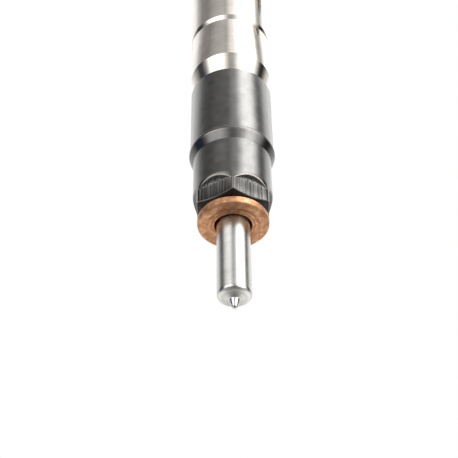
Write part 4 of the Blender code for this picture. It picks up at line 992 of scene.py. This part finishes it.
tin_plate = turned_metal("tin plated steel", "#d6d4cf", "#b9b6b0", 0.25, 0.15, 0.1)
nipple_flange = house_high + GAP
nipple_flange_top = nipple_flange + NIPPLE_FLANGE_THICKNESS
barb_foot, barb_edge = (nipple_high - down for down in NIPPLE_BARB_LENGTHS)
ring_middle = sum(heights("return_o_ring")) / 2
plug_foot, plug_top = ring_middle - NIPPLE_GROOVE_HALF, ring_middle + NIPPLE_GROOVE_HALF
nipple_outline = eased(
    [(NIPPLE_BORE, nipple_low), (NIPPLE_PLUG, nipple_low), (NIPPLE_PLUG, plug_foot),
     (NIPPLE_GROOVE, plug_foot), (NIPPLE_GROOVE, plug_top), (NIPPLE_PLUG, plug_top),
     (NIPPLE_PLUG, nipple_flange), (NIPPLE_FLANGE, nipple_flange),
     (NIPPLE_FLANGE, nipple_flange_top), (NIPPLE_STEM, nipple_flange_top),
     (NIPPLE_STEM, barb_foot), (NIPPLE_BARB, barb_foot), (NIPPLE_BARB, barb_edge),
     (NIPPLE_STEM, nipple_high), (NIPPLE_BORE, nipple_high)], 0.15)
nipple = new_piece("leak_off_nipple", lathe(nipple_outline, 64), tin_plate)
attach(nipple, "injector")
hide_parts("return_nipple")


# ---------------------------------------------------------------------------------------
# The pieces inside, and the terminals. Their CAD solids have the right shape, so each
# keeps it and takes a real finish: ground steel, spring wire, soft iron, copper, rubber.
# ---------------------------------------------------------------------------------------
def moulded(name, dark, light, roughness, grain_mm):
    """A moulded plastic or rubber with a faint grain."""
    made, tree, shader, place = new_material(name)
    fine = grain(tree, place, 1.0 / (grain_mm * MM), 3.0)
    fill_inputs(tree, shader, {
        "Base Color": ramp(tree, fine, [(0.3, linear(dark)), (0.7, linear(light))]),
        "Roughness": roughness,
        "Normal": relief(tree, fine, 0.2, 0.00005)})
    return made


lapped_steel = turned_metal("lapped tool steel", "#c4c3c1", "#a8a7a5", 0.18, 0.1, 0.05)
spring_wire = turned_metal("drawn spring wire", "#77756f", "#55534f", 0.32, 0.3, 0.1)
soft_iron = turned_metal("sintered soft iron", "#6a6866", "#504e4c", 0.5, 0.4, 0.2)
magnet_wire = turned_metal("enamelled copper wire", "#b0562a", "#6e3117", 0.3, 0.25, 0.6)
rubber = moulded("fluorocarbon rubber", "#141414", "#202020", 0.55, 0.2)
bobbin_nylon = moulded("natural nylon", "#b9ab83", "#cabd96", 0.45, 0.3)

finishes = {
    lapped_steel: ("nozzle_needle", "needle_spring_seat", "needle_spring_shim", "dowel_pin_1",
                   "dowel_pin_2", "control_piston", "valve_body", "valve_ball", "ball_guide",
                   "armature_guide", "valve_clamp_nut", "armature_pin", "lift_shim",
                   "valve_spring_shim", "edge_filter"),
    spring_wire: ("needle_spring", "armature_spring", "valve_spring"),
    soft_iron: ("armature_plate", "magnet_core"),
    magnet_wire: ("coil_winding",),
    tin_plate: ("high_pressure_seal_ring", "terminal_1", "terminal_2"),
    rubber: ("connector_o_ring", "return_o_ring"),
    bobbin_nylon: ("coil_bobbin",),
}
for material, names in finishes.items():
    for name in names:
        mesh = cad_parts[name].data
        mesh.materials.clear()
        mesh.materials.append(material)
        mesh.shade_smooth()
        mesh.set_sharp_from_angle(angle=SHARP_ANGLE)
